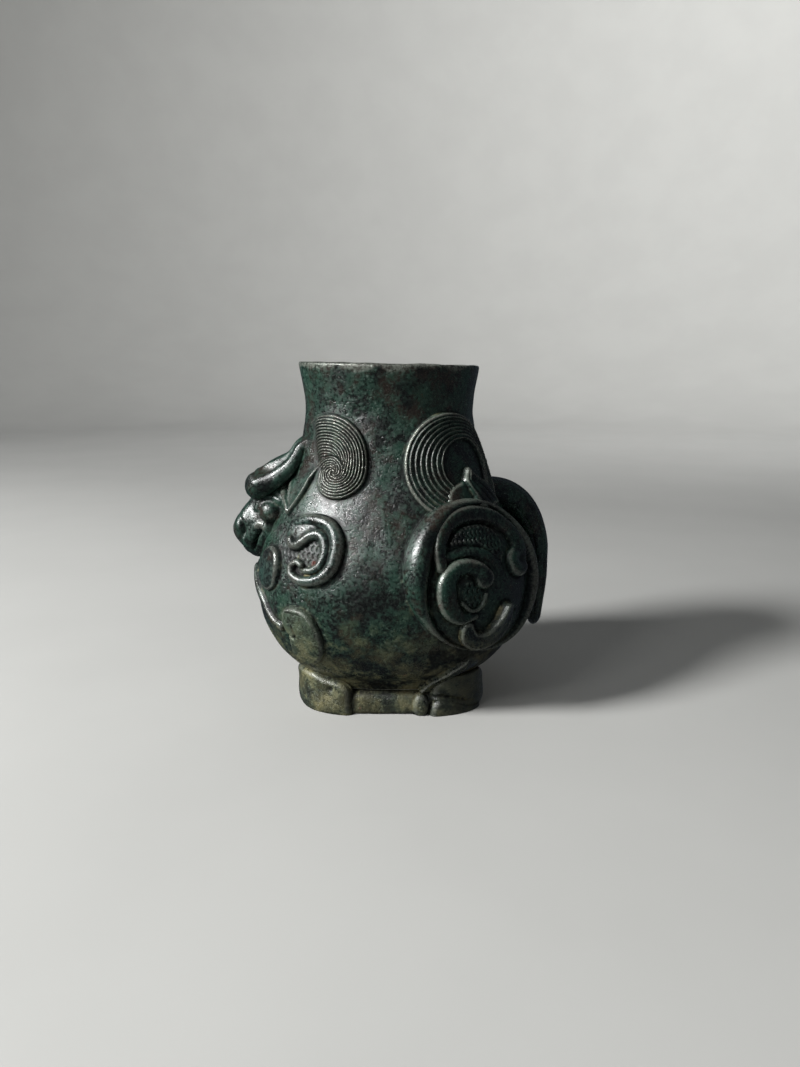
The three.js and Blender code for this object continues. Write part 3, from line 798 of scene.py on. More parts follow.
@dataclass(frozen=True)
class ShoulderScroll(Relief):
    """C-scroll on the shoulder: an outer roll that ends in a volute, and an inner roll with a hook."""

    outer: Stroke = Stroke(
        ((-11.0, 9.6), (-5.0, 11.2), (0.0, 11.0), (5.0, 9.1), (8.1, 4.7), (8.7, 0.0), (7.6, -5.0),
         (4.4, -8.8), (0.0, -10.5), (-4.2, -10.6), (-7.2, -8.9), (-7.8, -6.1), (-5.9, -4.3), (-3.9, -5.0)),
        half_width=(2.1, 2.3, 2.6, 2.8, 2.6, 2.2, 1.9, 1.5, 1.2),
        crown=(1.6, 2.3, 2.7, 2.8, 2.6, 2.4, 2.2, 2.0, 1.7),
    )
    inner: Stroke = Stroke(
        ((-11.0, 3.0), (-9.7, 1.7), (-7.8, 1.6), (-5.6, 3.2), (-3.2, 5.4), (-0.4, 6.3), (2.4, 5.2),
         (4.2, 2.0), (4.3, -1.6), (3.0, -4.7), (0.6, -6.5), (-2.0, -6.9)),
        half_width=(1.9, 2.0, 2.0, 2.1, 2.0, 1.7, 1.2),
        crown=(2.4, 2.6, 2.5, 2.2, 2.0, 1.8, 1.4),
    )
    arm: Lobe = Lobe(
        ((-15.5, 4.6), (-11.4, 3.4), (-8.0, 2.6), (-4.6, 5.4), (-0.5, 8.0), (-3.0, 11.5), (-9.0, 12.2),
         (-15.0, 10.5)),
        crown=1.3, edge=3.0,
    )
    floor: Lobe = Lobe(
        ((-12.5, -3.8), (-8.0, -7.0), (0.0, -8.5), (6.0, -4.0), (6.0, 4.0), (0.0, 8.0), (-5.0, 5.0),
         (-9.0, 0.5), (-14.5, 2.0)),
        crown=-0.05, edge=0.5,
    )
    punch_pitch: float = 2.1
    punch_depth: float = 0.25

    def height(self, p: Array, q: Array) -> Array:
        """Height over the seat at flat points."""
        marks = self.punch_depth * punches(p, q, self.punch_pitch)
        floor = self.floor.height(p, q) - marks * ease(self.floor.inset(p, q), 0.3, 0.8)
        rolls = fuse(self.outer.height(p, q), self.inner.height(p, q), 0.2)
        return fuse(fuse(rolls, self.arm.height(p, q), 0.2), floor, 0.15)


@dataclass(frozen=True)
class Ear(Relief):
    """Leaf-shaped ear behind the eye, with hair lines along it and a rolled front edge."""

    rear: Points = ((-1.6, -9.8), (1.0, -5.2), (3.4, 0.4), (5.4, 6.4))
    root: tuple[float, float] = (9.0, 15.0)
    front: Points = (
        (5.0, 19.0), (-4.0, 18.0), (-9.0, 12.0), (-10.5, 4.0), (-7.5, -1.5), (-5.0, -5.5), (-3.6, -8.6),
    )
    swell: tuple[float, float] = (7.4, 11.0)  # the outline bends out here between the rear edge and the root
    crown: float = 1.1
    edge: float = 0.6
    hair_pitch: float = 1.1
    hair_depth: float = 0.16
    fold: Stroke = Stroke(
        ((-13.4, 3.0), (-13.6, -0.6), (-10.6, -3.2), (-6.6, -4.8), (-3.4, -6.8), (-2.0, -8.4)),
        half_width=(1.3, 1.5, 1.1), crown=(2.4, 2.4, 1.8),
    )

    def height(self, p: Array, q: Array) -> Array:
        """Height over the seat at flat points."""
        leaf = Lobe((self.root, *self.front, *self.rear, self.swell), self.crown, self.edge)
        inset = leaf.inset(p, q)
        leaf = leaf.height(p, q)
        shown = ease(q - 0.35 * p, 13.0, 2.5)
        dished = 0.3 * ease(inset, 0.5, 5.0) * ease(q, -10.0, -3.0) - 0.25 * bell(inset - 0.7, 0.6)
        _, behind, _ = nearest(curve((*self.rear, self.root)), p, q)
        combed = self.hair_depth * (1.0 - strands(behind / self.hair_pitch)) * ease(inset, 0.7, 1.6)
        leaf = np.where(leaf > 0.0, (leaf - dished - combed) * shown - FADED * (1.0 - shown), leaf)
        return fuse(leaf, self.fold.height(p, q), 0.3)


@dataclass(frozen=True)
class ChestLobe(Relief):
    """Comma-shaped lobe under the jaw with a rolled rear edge."""

    pad: Lobe = Lobe(
        ((1.0, 8.4), (-3.0, 6.4), (-5.0, 1.0), (-4.6, -4.0), (-1.0, -7.0), (3.6, -7.6), (7.0, -6.0),
         (9.2, -2.5), (9.5, 1.6), (8.2, 6.0), (5.0, 8.4)),
        crown=1.2, edge=1.2,
    )
    roll: Stroke = Stroke(
        ((2.6, 7.4), (6.0, 6.3), (8.0, 3.2), (8.3, -0.6), (7.2, -3.8)),
        half_width=(1.1, 1.5, 1.4, 1.0), crown=(1.6, 2.1, 2.0, 1.3),
    )

    def height(self, p: Array, q: Array) -> Array:
        """Height over the seat at flat points."""
        return fuse(self.pad.height(p, q), self.roll.height(p, q), 0.4)


@dataclass(frozen=True)
class BreastStrap(Relief):
    """Narrow strap that runs from the middle of the breast down over its side."""

    strap: Stroke = Stroke(
        ((-25.0, 6.4), (-21.7, 7.6), (-17.4, 9.0), (-13.0, 9.0), (-5.5, 5.2), (1.0, 1.2), (5.0, -3.2),
         (8.6, -5.9), (12.0, -6.6)),
        half_width=(2.0, 2.0, 2.1, 2.1, 2.0, 1.7), crown=(1.3, 1.3, 1.3, 1.4, 1.3, 1.2), lean=0.2,
    )

    def height(self, p: Array, q: Array) -> Array:
        """Height over the seat at flat points."""
        return self.strap.height(p, q)


@dataclass(frozen=True)
class KneeLobe(Relief):
    """Bent knee of the folded front leg, with a small hook cut in it."""

    pad: Lobe = Lobe(
        ((-7.2, 10.0), (-8.2, 5.0), (-6.4, 0.0), (-7.4, -5.6), (-8.6, -11.4), (-1.3, -11.4), (4.2, -8.8),
         (7.0, -4.4), (7.7, 0.4), (6.7, 5.2), (4.6, 9.6), (0.4, 12.1), (-4.0, 12.0)),
        crown=1.6, edge=1.5, dome=0.5,
    )
    hook: Stroke = Stroke(((-4.2, 7.6), (-3.3, 3.4), (-2.7, 1.2), (-3.9, 0.0), (-5.6, 0.9)), 0.55, 0.7)
    lip: Stroke = Stroke(((-5.8, 10.9), (-2.0, 11.2), (2.2, 10.3), (5.0, 6.4)), 0.8, (0.5, 0.4, 0.2))

    def height(self, p: Array, q: Array) -> Array:
        """Height over the seat at flat points."""
        return worked(self.pad.height(p, q), raised(self.lip.height(p, q)) - self.hook.groove(p, q))


@dataclass(frozen=True)
class HindShank(Relief):
    """Lower hind leg, with a firm front edge and a back that runs into the wall."""

    front_edge: Points = ((6.5, 10.0), (3.2, 5.0), (-0.6, 0.6), (-5.0, -6.5), (-7.0, -10.0))
    crown: tuple[float, ...] = (1.2, 1.8, 2.0, 2.0, 2.2)
    breadth: float = 12.0

    def height(self, p: Array, q: Array) -> Array:
        """Height over the seat at flat points."""
        share, side, _ = nearest(curve(self.front_edge), p, q)
        shape = ease(side, -1.4, 0.5) * ease(side, self.breadth, 2.0) * ease(share, 0.0, 0.25)
        return along(self.crown, share) * shape - SUNK - 0.02


@dataclass(frozen=True)
class Haunch(Relief):
    """Oval plate with a rolled rim that is broad in front, and a ground with punched pads."""

    half_length: float = 34.0
    half_height: float = 27.3
    tilt: float = math.radians(-15.9)
    centre: float = -0.9
    ground: float = 1.2
    upper_pad: Lobe = Lobe(
        ((-15.2, 12.2), (-9.0, 12.2), (-3.0, 11.2), (2.0, 7.6), (3.0, 3.6), (5.6, 4.6), (8.6, 10.2),
         (7.0, 14.6), (3.0, 17.6), (-3.0, 18.4), (-8.4, 17.8), (-12.6, 15.6)),
        crown=0.75, edge=1.0,
    )
    lower_pad: Lobe = Lobe(
        ((-12.4, -3.0), (-11.6, -7.4), (-8.4, -9.6), (-5.2, -7.6), (-4.8, -3.6), (-7.6, -0.4),
         (-10.6, 0.2)),
        crown=0.5, edge=0.7,
    )
    ledge: Stroke = Stroke(
        ((-19.0, 7.6), (-12.0, 9.6), (-5.0, 9.2), (1.0, 6.8), (5.0, 1.0)), 1.7, (0.8, 1.1, 1.1, 0.8, 0.3),
    )
    undercut: Stroke = Stroke(
        ((-17.0, 11.6), (-14.8, 15.9), (-10.6, 18.6), (-5.4, 19.6), (1.0, 19.0), (7.0, 17.0)),
        half_width=(1.0, 1.0, 0.8, 0.6), crown=(0.9, 1.0, 0.8, 0.4),
    )
    hook: Stroke = Stroke(((8.0, -13.2), (8.5, -16.0), (10.8, -16.6), (12.6, -14.6)), 0.6, 0.6)
    punch_pitch: float = 1.9
    punch_depth: float = 0.6

    def height(self, p: Array, q: Array) -> Array:
        """Height over the seat at flat points."""
        x = (p - self.centre) * math.cos(self.tilt) + q * math.sin(self.tilt)
        y = q * math.cos(self.tilt) - (p - self.centre) * math.sin(self.tilt)
        share = np.hypot(x / self.half_length, y / self.half_height)
        angle = np.arctan2(y / self.half_height, x / self.half_length)
        cosine, sine, twice = np.cos(angle), np.sin(angle), np.cos(2 * angle)
        start = 0.8275 + 0.05 * cosine - 0.045 * sine - 0.0975 * twice  # share at which the rim begins
        crown = 3.25 + 0.1 * cosine + sine + 1.25 * twice
        rim = np.clip((share - start) / (1.0 - start), 0.0, 1.0) ** (1.0 - 0.45 * raised(cosine))
        roll = self.ground * (1.0 - rim) + crown * np.sin(np.pi * rim) ** 0.7
        plate = np.where(share < start, self._ground(p, q), roll)
        groove = 0.7 * bell((share - start) * 30.0, 0.8) * ease(cosine, 0.7, -0.2)
        return np.where(share < 1.0, plate - groove, (1.0 - share) * self.half_height)

    def _ground(self, p: Array, q: Array) -> Array:
        """Height of the ground inside the rim: punched pads, a ledge between them and cut lines."""
        pads = np.maximum(self.upper_pad.height(p, q), self.lower_pad.height(p, q))
        ledge = self.ledge.height(p, q)
        marks = self.punch_depth * punches(p, q, self.punch_pitch) * ease(pads, 0.25, 0.5)
        cuts = marks * ease(ledge, 0.4, 0.1) + self.undercut.groove(p, q) + self.hook.groove(p, q)
        return self.ground + raised(fuse(pads, ledge, 0.25)) - cuts


@dataclass(frozen=True)
class UpperScroll(Relief):
    """Arc over the haunch's ground with its ridge outside, ending in a hollowed drop."""

    band: Stroke = Stroke(
        ((-19.9, 5.6), (-20.1, 9.6), (-18.7, 14.4), (-15.4, 18.6), (-10.4, 21.2), (-4.8, 22.1),
         (1.0, 21.7), (6.6, 20.2), (11.6, 17.4), (15.8, 13.4), (17.4, 9.6), (16.4, 6.0), (14.4, 3.4)),
        half_width=(2.4, 2.7, 2.8, 2.8, 2.7, 2.6, 2.6, 2.7, 3.0, 3.8, 5.8),
        crown=(1.9, 2.4, 2.6, 2.6, 2.5, 2.4, 2.4, 2.5, 2.6, 3.0, 3.4), fullness=0.42, lean=0.3,
    )
    dish: tuple[float, float] = (15.6, 3.4)  # middle of the drop's hollow
    dish_depth: float = 1.9

    def height(self, p: Array, q: Array) -> Array:
        """Height over the seat at flat points."""
        band = self.band.height(p, q)
        reach = np.hypot((p - self.dish[0]) * 0.8, q - self.dish[1])
        return np.where(band > 0.0, np.maximum(band - self.dish_depth * bell(reach, 2.6), -SUNK), band)


@dataclass(frozen=True)
class LowerScroll(Relief):
    """Spiral on the haunch's ground that closes to a round hook, and the lip of the pad inside it."""

    band: Stroke = Stroke(
        ((-7.4, -12.6), (-13.4, -12.4), (-17.4, -8.8), (-18.9, -3.4), (-17.8, 1.4), (-14.2, 4.5),
         (-9.6, 5.0), (-5.8, 3.4), (-3.9, 0.6)),
        half_width=(1.0, 2.3, 3.4, 3.9, 3.7, 3.0, 2.6, 2.9, 3.9),
        crown=(1.0, 2.0, 2.6, 2.9, 2.9, 2.6, 2.4, 2.5, 2.7), lean=0.22,
    )
    lip: Stroke = Stroke(
        ((-12.8, -7.4), (-9.2, -10.4), (-5.2, -9.2), (-3.4, -5.4)), 0.8, (0.9, 1.0, 0.9, 0.5),
    )

    def height(self, p: Array, q: Array) -> Array:
        """Height over the seat at flat points."""
        return fuse(self.band.height(p, q), self.lip.height(p, q), 0.25)


@dataclass(frozen=True)
class Crescent(Relief):
    """Crescent at the foot of the haunch, with a crest along its inner edge and a knob at its front end."""

    band: Lobe = Lobe(
        ((4.6, -9.6), (3.0, -11.6), (1.4, -14.4), (-0.4, -16.8), (-3.0, -18.5), (-5.8, -18.8), (-7.6, -17.0),
         (-8.8, -14.6), (-11.6, -14.2), (-13.0, -17.0), (-12.2, -21.4), (-8.0, -24.8), (-2.4, -25.6),
         (3.0, -23.8), (7.2, -19.6), (9.0, -14.6), (8.0, -10.6)),
        crown=1.9, edge=1.0,
    )
    inner_edge: Points = ((4.6, -9.6), (1.4, -14.4), (-3.0, -18.5), (-6.4, -18.2))
    crest: float = 1.6

    def height(self, p: Array, q: Array) -> Array:
        """Height over the seat at flat points."""
        share, side, _ = nearest(curve(self.inner_edge), p, q)
        crest = self.crest * ease(share, 1.0, 0.15) * ease(side, 5.5, 0.4) * ease(side, 0.0, 0.5)
        return worked(self.band.height(p, q), crest)


@dataclass(frozen=True)
class Paw(Relief):
    """A foot of the beast against the vase's own foot; its upper part leans out a little."""

    levels: tuple[float, ...] = (0.0, 1.2, 9.0, 13.0, 17.0)
    outsets: tuple[float, ...] = (-0.5, 0.0, 0.0, 0.4, 0.8)

    def lean(self, q: Array) -> Array:
        """How far the paw's face stands out at each height."""
        return spline(q, self.levels, self.outsets)


@dataclass(frozen=True)
class FrontPaw(Paw):
    """Folded front hoof at the corner of the foot, with a small notch and a swelling beside it."""

    hoof: Lobe = Lobe(
        ((11.0, -6.0), (11.5, 3.0), (11.0, 9.6), (8.6, 12.2), (3.0, 13.6), (-4.0, 15.4), (-12.0, 15.0),
         (-20.0, 13.0), (-24.5, 8.0), (-25.5, -6.0)),
        crown=1.9, edge=2.0,
    )

    def height(self, p: Array, q: Array) -> Array:
        """Height over the foot's face at flat points."""
        notch = 0.8 * bell(np.hypot((p - 4.7) * (1.0 - 0.25 * (q - 10.0)), (q - 10.2) * 0.9), 0.9)
        swell = 0.3 * bell(np.hypot(p - 7.4, (q - 5.0) * 0.6), 3.0)
        return worked(self.hoof.height(p, q), self.lean(q) - notch + swell)


@dataclass(frozen=True)
class HindPaw(Paw):
    """Hind paw: a round toe and a long wedge-shaped toe in front of the heel."""

    wedge: Lobe = Lobe(
        ((-2.4, -3.0), (0.0, -4.0), (20.0, -4.0), (20.0, 0.4), (13.0, 2.4), (7.0, 4.7), (1.4, 6.3),
         (-0.9, 5.4), (-2.4, 2.6)),
        crown=2.6, edge=2.0,
    )
    heel: Lobe = Lobe(
        ((0.4, 3.0), (16.0, -4.0), (26.0, -5.0), (26.4, 9.0), (22.0, 14.0), (12.0, 16.5), (3.0, 14.5),
         (-1.4, 9.4)),
        crown=1.7, edge=2.6,
    )
    gap: Stroke = Stroke(((-1.4, 7.4), (2.0, 7.5), (8.0, 5.8), (14.0, 3.8)), 0.8, (0.6, 1.0, 0.9, 0.3))

    def height(self, p: Array, q: Array) -> Array:
        """Height over the foot's face at flat points."""
        ball = 1.0 - ((p + 5.7) / 3.0) ** 2 - ((q - 3.8) / 4.6) ** 2
        toe = np.where(ball > 0.0, 2.1 * np.sqrt(raised(ball)), 2.4 * ball)
        heel = worked(self.heel.height(p, q), self.lean(q) - self.gap.groove(p, q))
        return fuse(fuse(toe, self.wedge.height(p, q), 0.2), heel, 0.2)


def reliefs() -> list[Relief]:
    """The beast's ornaments on its left side."""
    haunch, rump = WallSite(45, 55), WallSite(42.8, 93)
    scroll_seat = 2 * SEAM + Haunch.ground
    scrolls = (
        UpperScroll("upper_scroll", Slot.GREEN, haunch, (-24, 23, -4, 26), seat=scroll_seat),
        LowerScroll("lower_scroll", Slot.GREEN, haunch, (-24, 2, -16, 9), seat=scroll_seat),
        Crescent("crescent", Slot.WORN, haunch, (-14.5, 11, -27, -8), seat=scroll_seat),
    )
    return [
        Ear("ear", Slot.GREEN, WallSite(-57, 84), (-15, 11, -13, 20)),
        ManeCurl("mane_curl", Slot.DARK, WallSite(-35.7, 92), (-16, 14, -11.5, 22), pitch=0.15),
        ShoulderScroll("shoulder_scroll", Slot.WORN, WallSite(-35.5, 64.5), (-17, 13, -14, 14), pitch=0.2),
        ChestLobe("chest_lobe", Slot.WORN, WallSite(-63, 55.5), (-6.5, 11, -9, 10)),
        BreastStrap("breast_strap", Slot.WORN, WallSite(-66, 42), (-21.9, 15, -10, 12)),
        KneeLobe("knee_lobe", Slot.OLIVE, WallSite(-40, 33), (-10, 9, -13, 14)),
        HindShank("hind_shank", Slot.DARK, WallSite(33, 19), (-10, 22, -12, 14)),
        Haunch("haunch", Slot.GREEN, haunch, (-36, 35, -30, 30), guests=scrolls),
        *scrolls,
        RumpCurl("rump_curl", Slot.DARK, rump, (-21.5, 21.5, -18, 21.5), pitch=0.2),
        RumpTuft("rump_tuft", Slot.GREEN, rump, (-8.5, 14.5, -17, 1), pitch=0.2),
        FrontPaw("front_paw", Slot.OLIVE, FootSite(-45), (-27, 12, 0, 15.5)),
        HindPaw("hind_paw", Slot.OLIVE, FootSite(30), (-10, 27, 0, 15)),
    ]


# The vessel


@dataclass(frozen=True)
class Vessel:
    """The hollow body, the foot ring that carries it and the plate in its bottom."""

    thickness: float = 3.0
    lip: float = 2.2
    lip_round: float = 0.9
    mouth_dip: float = 1.5  # the mouth is cast lower towards the tail
    pit: tuple[float, float] = (-21.9, 112.7)  # azimuth in degrees and height of a round flaw on the neck
    pit_radius: float = 1.5
    pit_depth: float = 0.4
    skin: float = 0.11
    foot_skin: float = 0.06
    foot_section: Points = (
        (-0.8, 0.0), (0.0, 0.8), (0.0, 5.8), (-0.7, 7.8), (-2.4, 9.0), (-11.0, 9.0), (-11.0, 6.4),
        (-4.2, 6.4), (-3.6, 0.0),
    )
    foot_bevel: float = 0.7
    plate_thickness: float = 2.0
    plate_taper: float = 0.5
    blank_radius: float = 100.0  # the round blank that is pressed to the oval plan
    steps: int = 320  # faces around the blank
    cuts: tuple[int, ...] = (190, 7, 48, 2)  # up the outside, over the lip, down the inside, under the wall

    @staticmethod
    def slant(z: Array) -> Array:
        """Level width of a wall of unit thickness at each height."""
        return np.hypot(1.0, (WALL.half_width_at(z + 0.1) - WALL.half_width_at(z - 0.1)) / 0.2)

    def body(self, ornaments: list[Relief]) -> Piece:
        """Spins the wall on a round blank and presses it to the oval plan.

        Args:
            ornaments: Reliefs on the wall, which darken it along their outlines with painted shade and some
                earth.

        Returns:
            The vessel's body.
        """
        form = bmesh.new()
        section = ((0.0, 0.0), (0.0, 1.0), (-1.0, 1.0), (-1.0, 0.0))
        for side, cuts in zip(self._outline(form, section), self.cuts):
            bmesh.ops.subdivide_edges(form, edges=[side], cuts=cuts)
        mesh = self._spin("vessel_body", form)
        x, y, rise = read(mesh).T
        azimuth = np.arctan2(x, -y)
        inset = self.blank_radius - np.hypot(x, y)
        outside = inset < 0.5
        z = WALL.bottom + rise * (WALL.height - self.lip_round - WALL.bottom)
        depth = (self.lip + (self.thickness - self.lip) * ease(rise, 1.0, 0.9)) * self.slant(z)
        turn = math.pi * np.clip(inset, 0.0, 1.0)
        z = np.where(rise > 0.9999, z + self.lip_round * np.sin(turn), z)
        points = WALL.plan_point(azimuth, z, WALL.half_width_at(z), -depth * 0.5 * (1.0 - np.cos(turn)))
        dip = 0.5 * self.mouth_dip * (1.0 + points[:, 0] / WALL.half_widths[-1])
        points[:, 2] -= dip * ease(z, 100.0, WALL.height)
        pit_turn, pit_height = math.radians(self.pit[0]), self.pit[1]
        neck = WALL.half_width_at(np.array(pit_height))
        from_pit = np.hypot((azimuth - pit_turn) * neck, z - pit_height)
        sunk = np.where(outside, self.pit_depth * bell(from_pit - self.pit_radius, 0.6), 0.0)
        points[:, :2] *= 1.0 - sunk[:, None] / neck
        write_points(mesh, points)
        roughen(mesh, self.skin)
        # painted shade, with some earth, along the reliefs' outlines, low on the wall above the foot, around
        # the pit and over the whole inside
        creases = [relief.crease(azimuth, z) for relief in ornaments]
        crease = np.maximum.reduce([*creases, ease(z, 18.0, 11.5), ease(from_pit, 2.4, 1.2)])
        store_ridges_and_hollows(mesh, proudness(mesh, 6), np.where(outside, crease, 0.6))
        return Piece("vessel_body", mesh, Slot.DARK)

    def foot(self) -> Piece:
        """Spins the foot's rounded section and presses it to the foot's plan."""
        form = bmesh.new()
        self._outline(form, self.foot_section)
        bmesh.ops.bevel(
            form, geom=form.verts[:], offset=self.foot_bevel, affect="VERTICES", segments=4, profile=0.5,
            material=-1,
        )
        long_edges = [edge for edge in form.edges if edge.calc_length() > 1.5]
        bmesh.ops.subdivide_edges(form, edges=long_edges, cuts=5)
        mesh = self._spin("foot_ring", form)
        x, y, z = read(mesh).T
        write_points(mesh, WALL.foot_point(np.arctan2(x, -y), z, np.hypot(x, y) - self.blank_radius))
        roughen(mesh, self.foot_skin)
        points = read(mesh)
        points[:, 2] = raised(points[:, 2])
        write_points(mesh, points)
        # painted shade, with some earth, on the top of the foot ring under the body
        store_ridges_and_hollows(mesh, proudness(mesh, 5), ease(z, 6.6, 8.6))
        return Piece("foot_ring", mesh, Slot.OLIVE)

    def plate(self) -> Piece:
        """Plate that closes the body's bottom and rests on the foot's flange."""
        form = bmesh.new()
        bmesh.ops.create_circle(form, cap_ends=True, segments=128, radius=1.0)
        for _ in range(4):
            middle = max(form.faces, key=lambda face: len(face.verts))
            bmesh.ops.inset_region(form, faces=[middle], thickness=0.2)
        thicken(form, self.plate_thickness)
        mesh = to_mesh("base_plate", form)
        x, y, z = read(mesh).T
        azimuth = np.arctan2(x, -y)
        base = np.full_like(z, WALL.bottom)
        edge = WALL.radius(azimuth, base, WALL.half_width_at(base)) - self.thickness * self.slant(base) - SEAM
        reach = (edge - np.where(z > 0.5 * self.plate_thickness, self.plate_taper, 0.0)) * np.hypot(x, y)
        write_points(mesh, np.column_stack([reach * np.sin(azimuth), -reach * np.cos(azimuth), base + z]))
        # painted shade, with some earth, over the whole plate inside the body
        store_ridges_and_hollows(mesh, np.zeros_like(z), 0.7)
        return Piece("base_plate", mesh, Slot.OLIVE)

    def _outline(self, form: bmesh.types.BMesh, section: Points) -> list[bmesh.types.BMEdge]:
        """Draws a closed section, of outsets and heights, at the edge of the blank."""
        corners = [form.verts.new((self.blank_radius + outset, 0.0, z)) for outset, z in section]
        return [form.edges.new(pair) for pair in zip(corners, corners[1:] + corners[:1])]

    def _spin(self, name: str, form: bmesh.types.BMesh) -> Mesh:
        """Full turn of a closed section about the axis."""
        bmesh.ops.spin(
            form, geom=form.verts[:] + form.edges[:], cent=(0.0, 0.0, 0.0), axis=(0.0, 0.0, 1.0),
            dvec=(0.0, 0.0, 0.0), angle=2.0 * math.pi, steps=self.steps, use_merge=True,
        )
        bmesh.ops.remove_doubles(form, verts=form.verts, dist=1e-4)
        bmesh.ops.recalc_face_normals(form, faces=form.faces)
        return to_mesh(name, form)


# The beast


@dataclass(frozen=True)
class Head:
    """Face with a muzzle, bulging eyes, a rolled cheek and a slanted mouth.

    Attributes:
        sections: X, middle, half-height and half-width of the face, from the neck to the nose.
        squareness: Power of a section; 1 is an oval and a smaller power is squarer.
        reach: How far the nose may stand from the axis.
        eye: X, height and radius of the eyeball.
        rolls: Brow, cheek and upper lip, drawn on the face's side in x and height.
        cuts: The crease behind the nostril and the mouth, drawn in the same way.
        swellings: Height, x, height over the ground, two scales and width of the hollow before the eye,
            of the nose and of the hollow behind the jaw.
    """

    sections: tuple[tuple[float, float, float, float], ...] = (
        (-34.0, 72.0, 0.0, 0.0), (-36.0, 72.0, 15.5, 14.0), (-42.0, 71.2, 15.6, 13.0),
        (-48.0, 69.6, 14.8, 11.4), (-53.5, 67.4, 12.4, 10.2), (-57.3, 66.9, 8.4, 9.0),
        (-60.2, 66.2, 4.4, 6.4), (-61.8, 65.9, 1.7, 2.8), (-62.0, 65.8, 0.0, 0.0),
    )
    squareness: float = 0.72
    reach: float = 62.0
    eye: tuple[float, float, float] = (-46.2, 74.2, 3.9)
    rolls: tuple[Stroke, ...] = (
        Stroke(((-42.5, 78.6), (-46.0, 79.4), (-49.4, 78.2), (-51.4, 75.6)), 1.5, 0.5),
        Stroke(
            ((-51.2, 68.6), (-49.2, 69.4), (-47.2, 68.2), (-46.0, 65.6), (-46.2, 62.0), (-48.0, 58.4)),
            (1.3, 1.8, 2.0, 2.1, 1.8), (0.6, 1.4, 1.4, 1.0, 0.4),
        ),
        Stroke(((-52.2, 67.0), (-54.2, 63.2), (-55.4, 59.4)), 2.2, (0.2, 0.5, 0.4)),
    )
    cuts: tuple[Stroke, ...] = (
        Stroke(((-58.2, 72.0), (-56.9, 69.0), (-56.2, 66.4), (-57.0, 64.4)), 0.8, (0.3, 1.2, 1.3, 0.5)),
        Stroke(((-49.8, 66.6), (-51.0, 64.8), (-52.0, 62.4), (-52.8, 59.8)), 0.7, (0.8, 1.6, 1.6, 0.8)),
    )
    swellings: tuple[tuple[float, ...], ...] = (
        (-1.0, -53.4, 75.0, 1.0, 0.8, 3.0), (0.8, -58.9, 67.8, 1.1, 0.65, 2.2),
        (-0.6, -44.0, 69.6, 0.8, 1.0, 1.5),
    )

    def build(self) -> Piece:
        """Lofts the face and works its features into the surface."""
        mesh = spindle("beast_head", 220, 200, self._blank)
        points = read(mesh)
        lift = self._features(points[:, 0], points[:, 2])
        points = points + read(mesh, "normal") * lift[:, None]
        points[:, 0] = np.maximum(points[:, 0], -self.reach)
        write_points(mesh, WALL.keep_out(points))
        roughen(mesh)
        store_ridges_and_hollows(mesh, proudness(mesh))
        return Piece("beast_head", mesh, Slot.GREEN)

    def _blank(self, turn: Array, share: Array) -> Array:
        """Points on the plain face for turns around it and shares from the neck to the nose, 0 to 1."""
        table = np.asarray(self.sections)
        x, middle, half_height, half_width = spline(share, np.linspace(0.0, 1.0, len(table)), table).T
        angle = 2.0 * math.pi * turn
        across, upward = (
            np.sign(part) * np.abs(part) ** self.squareness for part in (np.cos(angle), np.sin(angle))
        )
        return np.column_stack([x, raised(half_width) * across, middle + raised(half_height) * upward])

    def _features(self, x: Array, z: Array) -> Array:
        """Height of the features over the plain face, seen from its side."""
        eye_x, eye_z, eye_radius = self.eye
        from_eye = np.hypot(x - eye_x, z - eye_z)
        lift = 2.1 * raised(1.0 - (from_eye / eye_radius) ** 2) ** 0.8 - 0.35 * bell(from_eye - 4.6, 0.8)
        for rise, at_x, at_z, scale_x, scale_z, width in self.swellings:
            lift += rise * bell(np.hypot((x - at_x) * scale_x, (z - at_z) * scale_z), width)
        lift += sum(raised(roll.height(x, z)) for roll in self.rolls)
        return lift - sum(cut.groove(x, z) for cut in self.cuts)


def sweep(path: Path, share: Array, sideways: Array, outwards: Array) -> Array:
    """Points beside a path whose bends lie across the Y axis.

    Args:
        path: Points that the path passes through.
        share: Places along the path, from 0 to 1.
        sideways: Offsets along the Y axis.
        outwards: Offsets square to the path and to the Y axis.

    Returns:
        Points, one row each.
    """
    line = curve(path, 400)
    places = np.linspace(0.0, 1.0, len(line))
    y_axis = np.array([0.0, 1.0, 0.0])
    outward = np.cross(spline(share, places, np.gradient(line, axis=0)), y_axis)
    outward /= np.linalg.norm(outward, axis=1, keepdims=True)
    return spline(share, places, line) + outward * outwards[:, None] + y_axis * sideways[:, None]


def blunt(share: Array, head: float, tail: float) -> Array:
    """Rounds the two ends of a form: 1 along most of its length and 0 at its ends."""
    return rounded(np.minimum(share / head, (1.0 - share) / tail))


